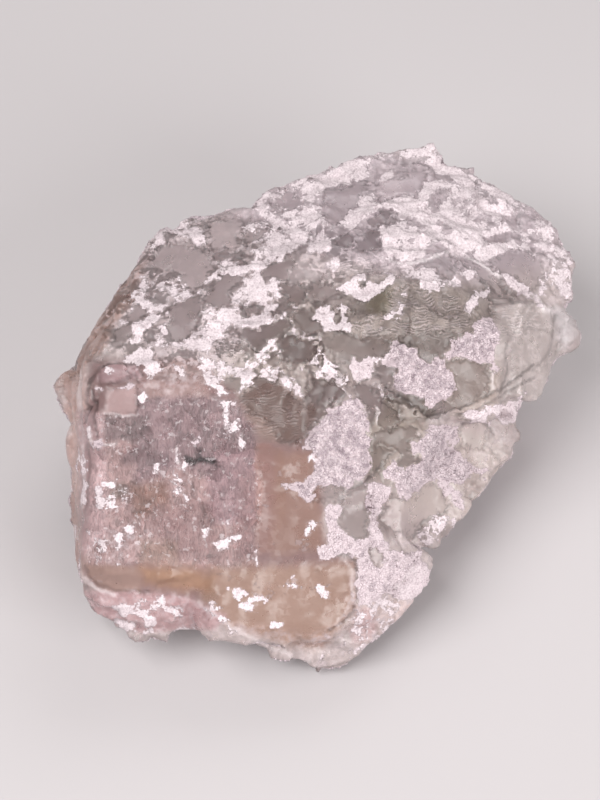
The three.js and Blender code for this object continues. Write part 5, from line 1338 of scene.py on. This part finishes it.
def strewGrains():
    # Each grain is a small cube turned at random and sunk into the close crust, and a few meshes hold them
    # all. A grain is shaded by noise, and paler where the crust is open.
    rng = np.random.default_rng(grains["seed"])
    chance = smoothStep(skinFields["crust"][skinTriangles].mean(1), *grains["closeCrust"])
    openFront = (skinFields["open"] * skinFields["facing"])[skinTriangles].mean(1)
    chance *= (1 - openFront) ** 2
    place, normal, pick = scatterOn(skinPoints, skinTriangles, grains["count"], chance, rng)
    kept = place[:, 2] > grains["above"]
    place, normal, pick = place[kept], normal[kept], pick[kept]
    count = len(place)
    size = rng.uniform(*grains["edge"], (count, 1)) * rng.uniform(*grains["uneven"], (count, 3))
    turns = turnAbout(rng.uniform(0, 90, (3, count)))
    points, faces = boxes(place + normal * (0.5 - grains["sunk"]) * size[:, :1], size, turns)
    points[:, 2] = np.maximum(points[:, 2], grains["floor"])
    least, varied, paler = grains["tone"]
    varied = varied + layeredNoise(place, grains["toneNoise"])
    tones = rng.random(count) ** 0.5 * varied + least + paler * openFront[pick]
    tones = np.repeat(np.clip(tones, 0, 1), 8).astype(np.float32)
    material = sugarMaterial()
    for number, start in enumerate(range(0, count, grains["piecesOf"])):
        stop = min(start + grains["piecesOf"], count)
        corners = slice(8 * start, 8 * stop)
        piece = meshFrom(f"sugarDruse{number + 1}", points[corners], faces[: 6 * (stop - start)])
        piece.data.attributes.new("tone", "FLOAT", "POINT").data.foreach_set("value", tones[corners])
        piece.data.materials.append(material)
        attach(piece, "root")
    return count


print("sugar grains:", strewGrains())

studio = {
    "floor": ("#b9b4b5", 0.9),  # colour and roughness of matte paper
    "floorHalf": 1200.0,  # mm
    "floorDrop": 0.03,  # mm under the base, so that the two don't meet
    "world": ("#f6f0ef", 0.3),  # colour and strength of the light all round
    "focal": 119.7,  # mm
    # each lamp's place across, up and out in mm, its side in mm, and its watts
    "lamps": {
        "keyLight": ((-180, 80, 320), 260, 1.5),
        "fillLight": ((250, -120, 260), 260, 1.5),
        "rimLight": ((120, 420, 60), 260, 0.7),
    },
}


def paperMaterial():
    # Matte paper: plain wood fibre, uncoated, so it spreads the light evenly.
    material = bpy.data.materials.new("matte paper floor")
    material.use_nodes = True
    tree = material.node_tree
    tree.nodes.clear()
    colour, roughness = studio["floor"]
    surface = addNode(tree, "BsdfPrincipled", {"Base Color": hexColour(colour), "Roughness": roughness})
    addNode(tree, "OutputMaterial", {"Surface": surface})
    return material


def setFloor():
    # a square of paper just under the base
    half = studio["floorHalf"]
    corners = np.array([[-half, -half, 0], [half, -half, 0], [half, half, 0], [-half, half, 0]])
    floor = meshFrom("studioFloor", corners - [0, 0, studio["floorDrop"]], np.array([[0, 1, 2, 3]]))
    floor.data.materials.append(paperMaterial())


def setWorld():
    # a pale even light from all round
    world = bpy.data.worlds.new("studioWorld")
    world.use_nodes = True
    background = world.node_tree.nodes["Background"]
    colour, strength = studio["world"]
    background.inputs["Color"].default_value = hexColour(colour)
    background.inputs["Strength"].default_value = strength
    bpy.context.scene.world = world
    bpy.context.scene.view_settings.view_transform = "Standard"


def setLamps():
    # soft squares of light, each turned to the middle of the cluster
    aim = Vector(toRow(0, 0, 0)) * mm
    for name, (place, side, watts) in studio["lamps"].items():
        lamp = bpy.data.lights.new(name, "AREA")
        lamp.size = side * mm
        lamp.energy = watts
        holder = bpy.data.objects.new(name, lamp)
        spot = Vector(toRow(*place)) * mm
        turn = (spot - aim).to_track_quat("Z", "Y").to_matrix().to_4x4()
        holder.matrix_world = Matrix.Translation(spot) @ turn
        bpy.context.scene.collection.objects.link(holder)


def setCamera():
    # an eye at the viewer's distance, which looks straight at the viewer's plane
    lens = bpy.data.cameras.new("viewer")
    lens.lens = studio["focal"]
    lens.clip_start = 0.01
    holder = bpy.data.objects.new("viewer", lens)
    eye = Vector(toRow(viewer["aimAcross"], viewer["aimUp"], viewer["distance"])) * mm
    holder.matrix_world = Matrix.Translation(eye) @ Matrix.Rotation(np.radians(viewer["tilt"]), 4, "X")
    bpy.context.scene.collection.objects.link(holder)
    bpy.context.scene.camera = holder


setFloor()
setWorld()
setLamps()
setCamera()
print("studio set")
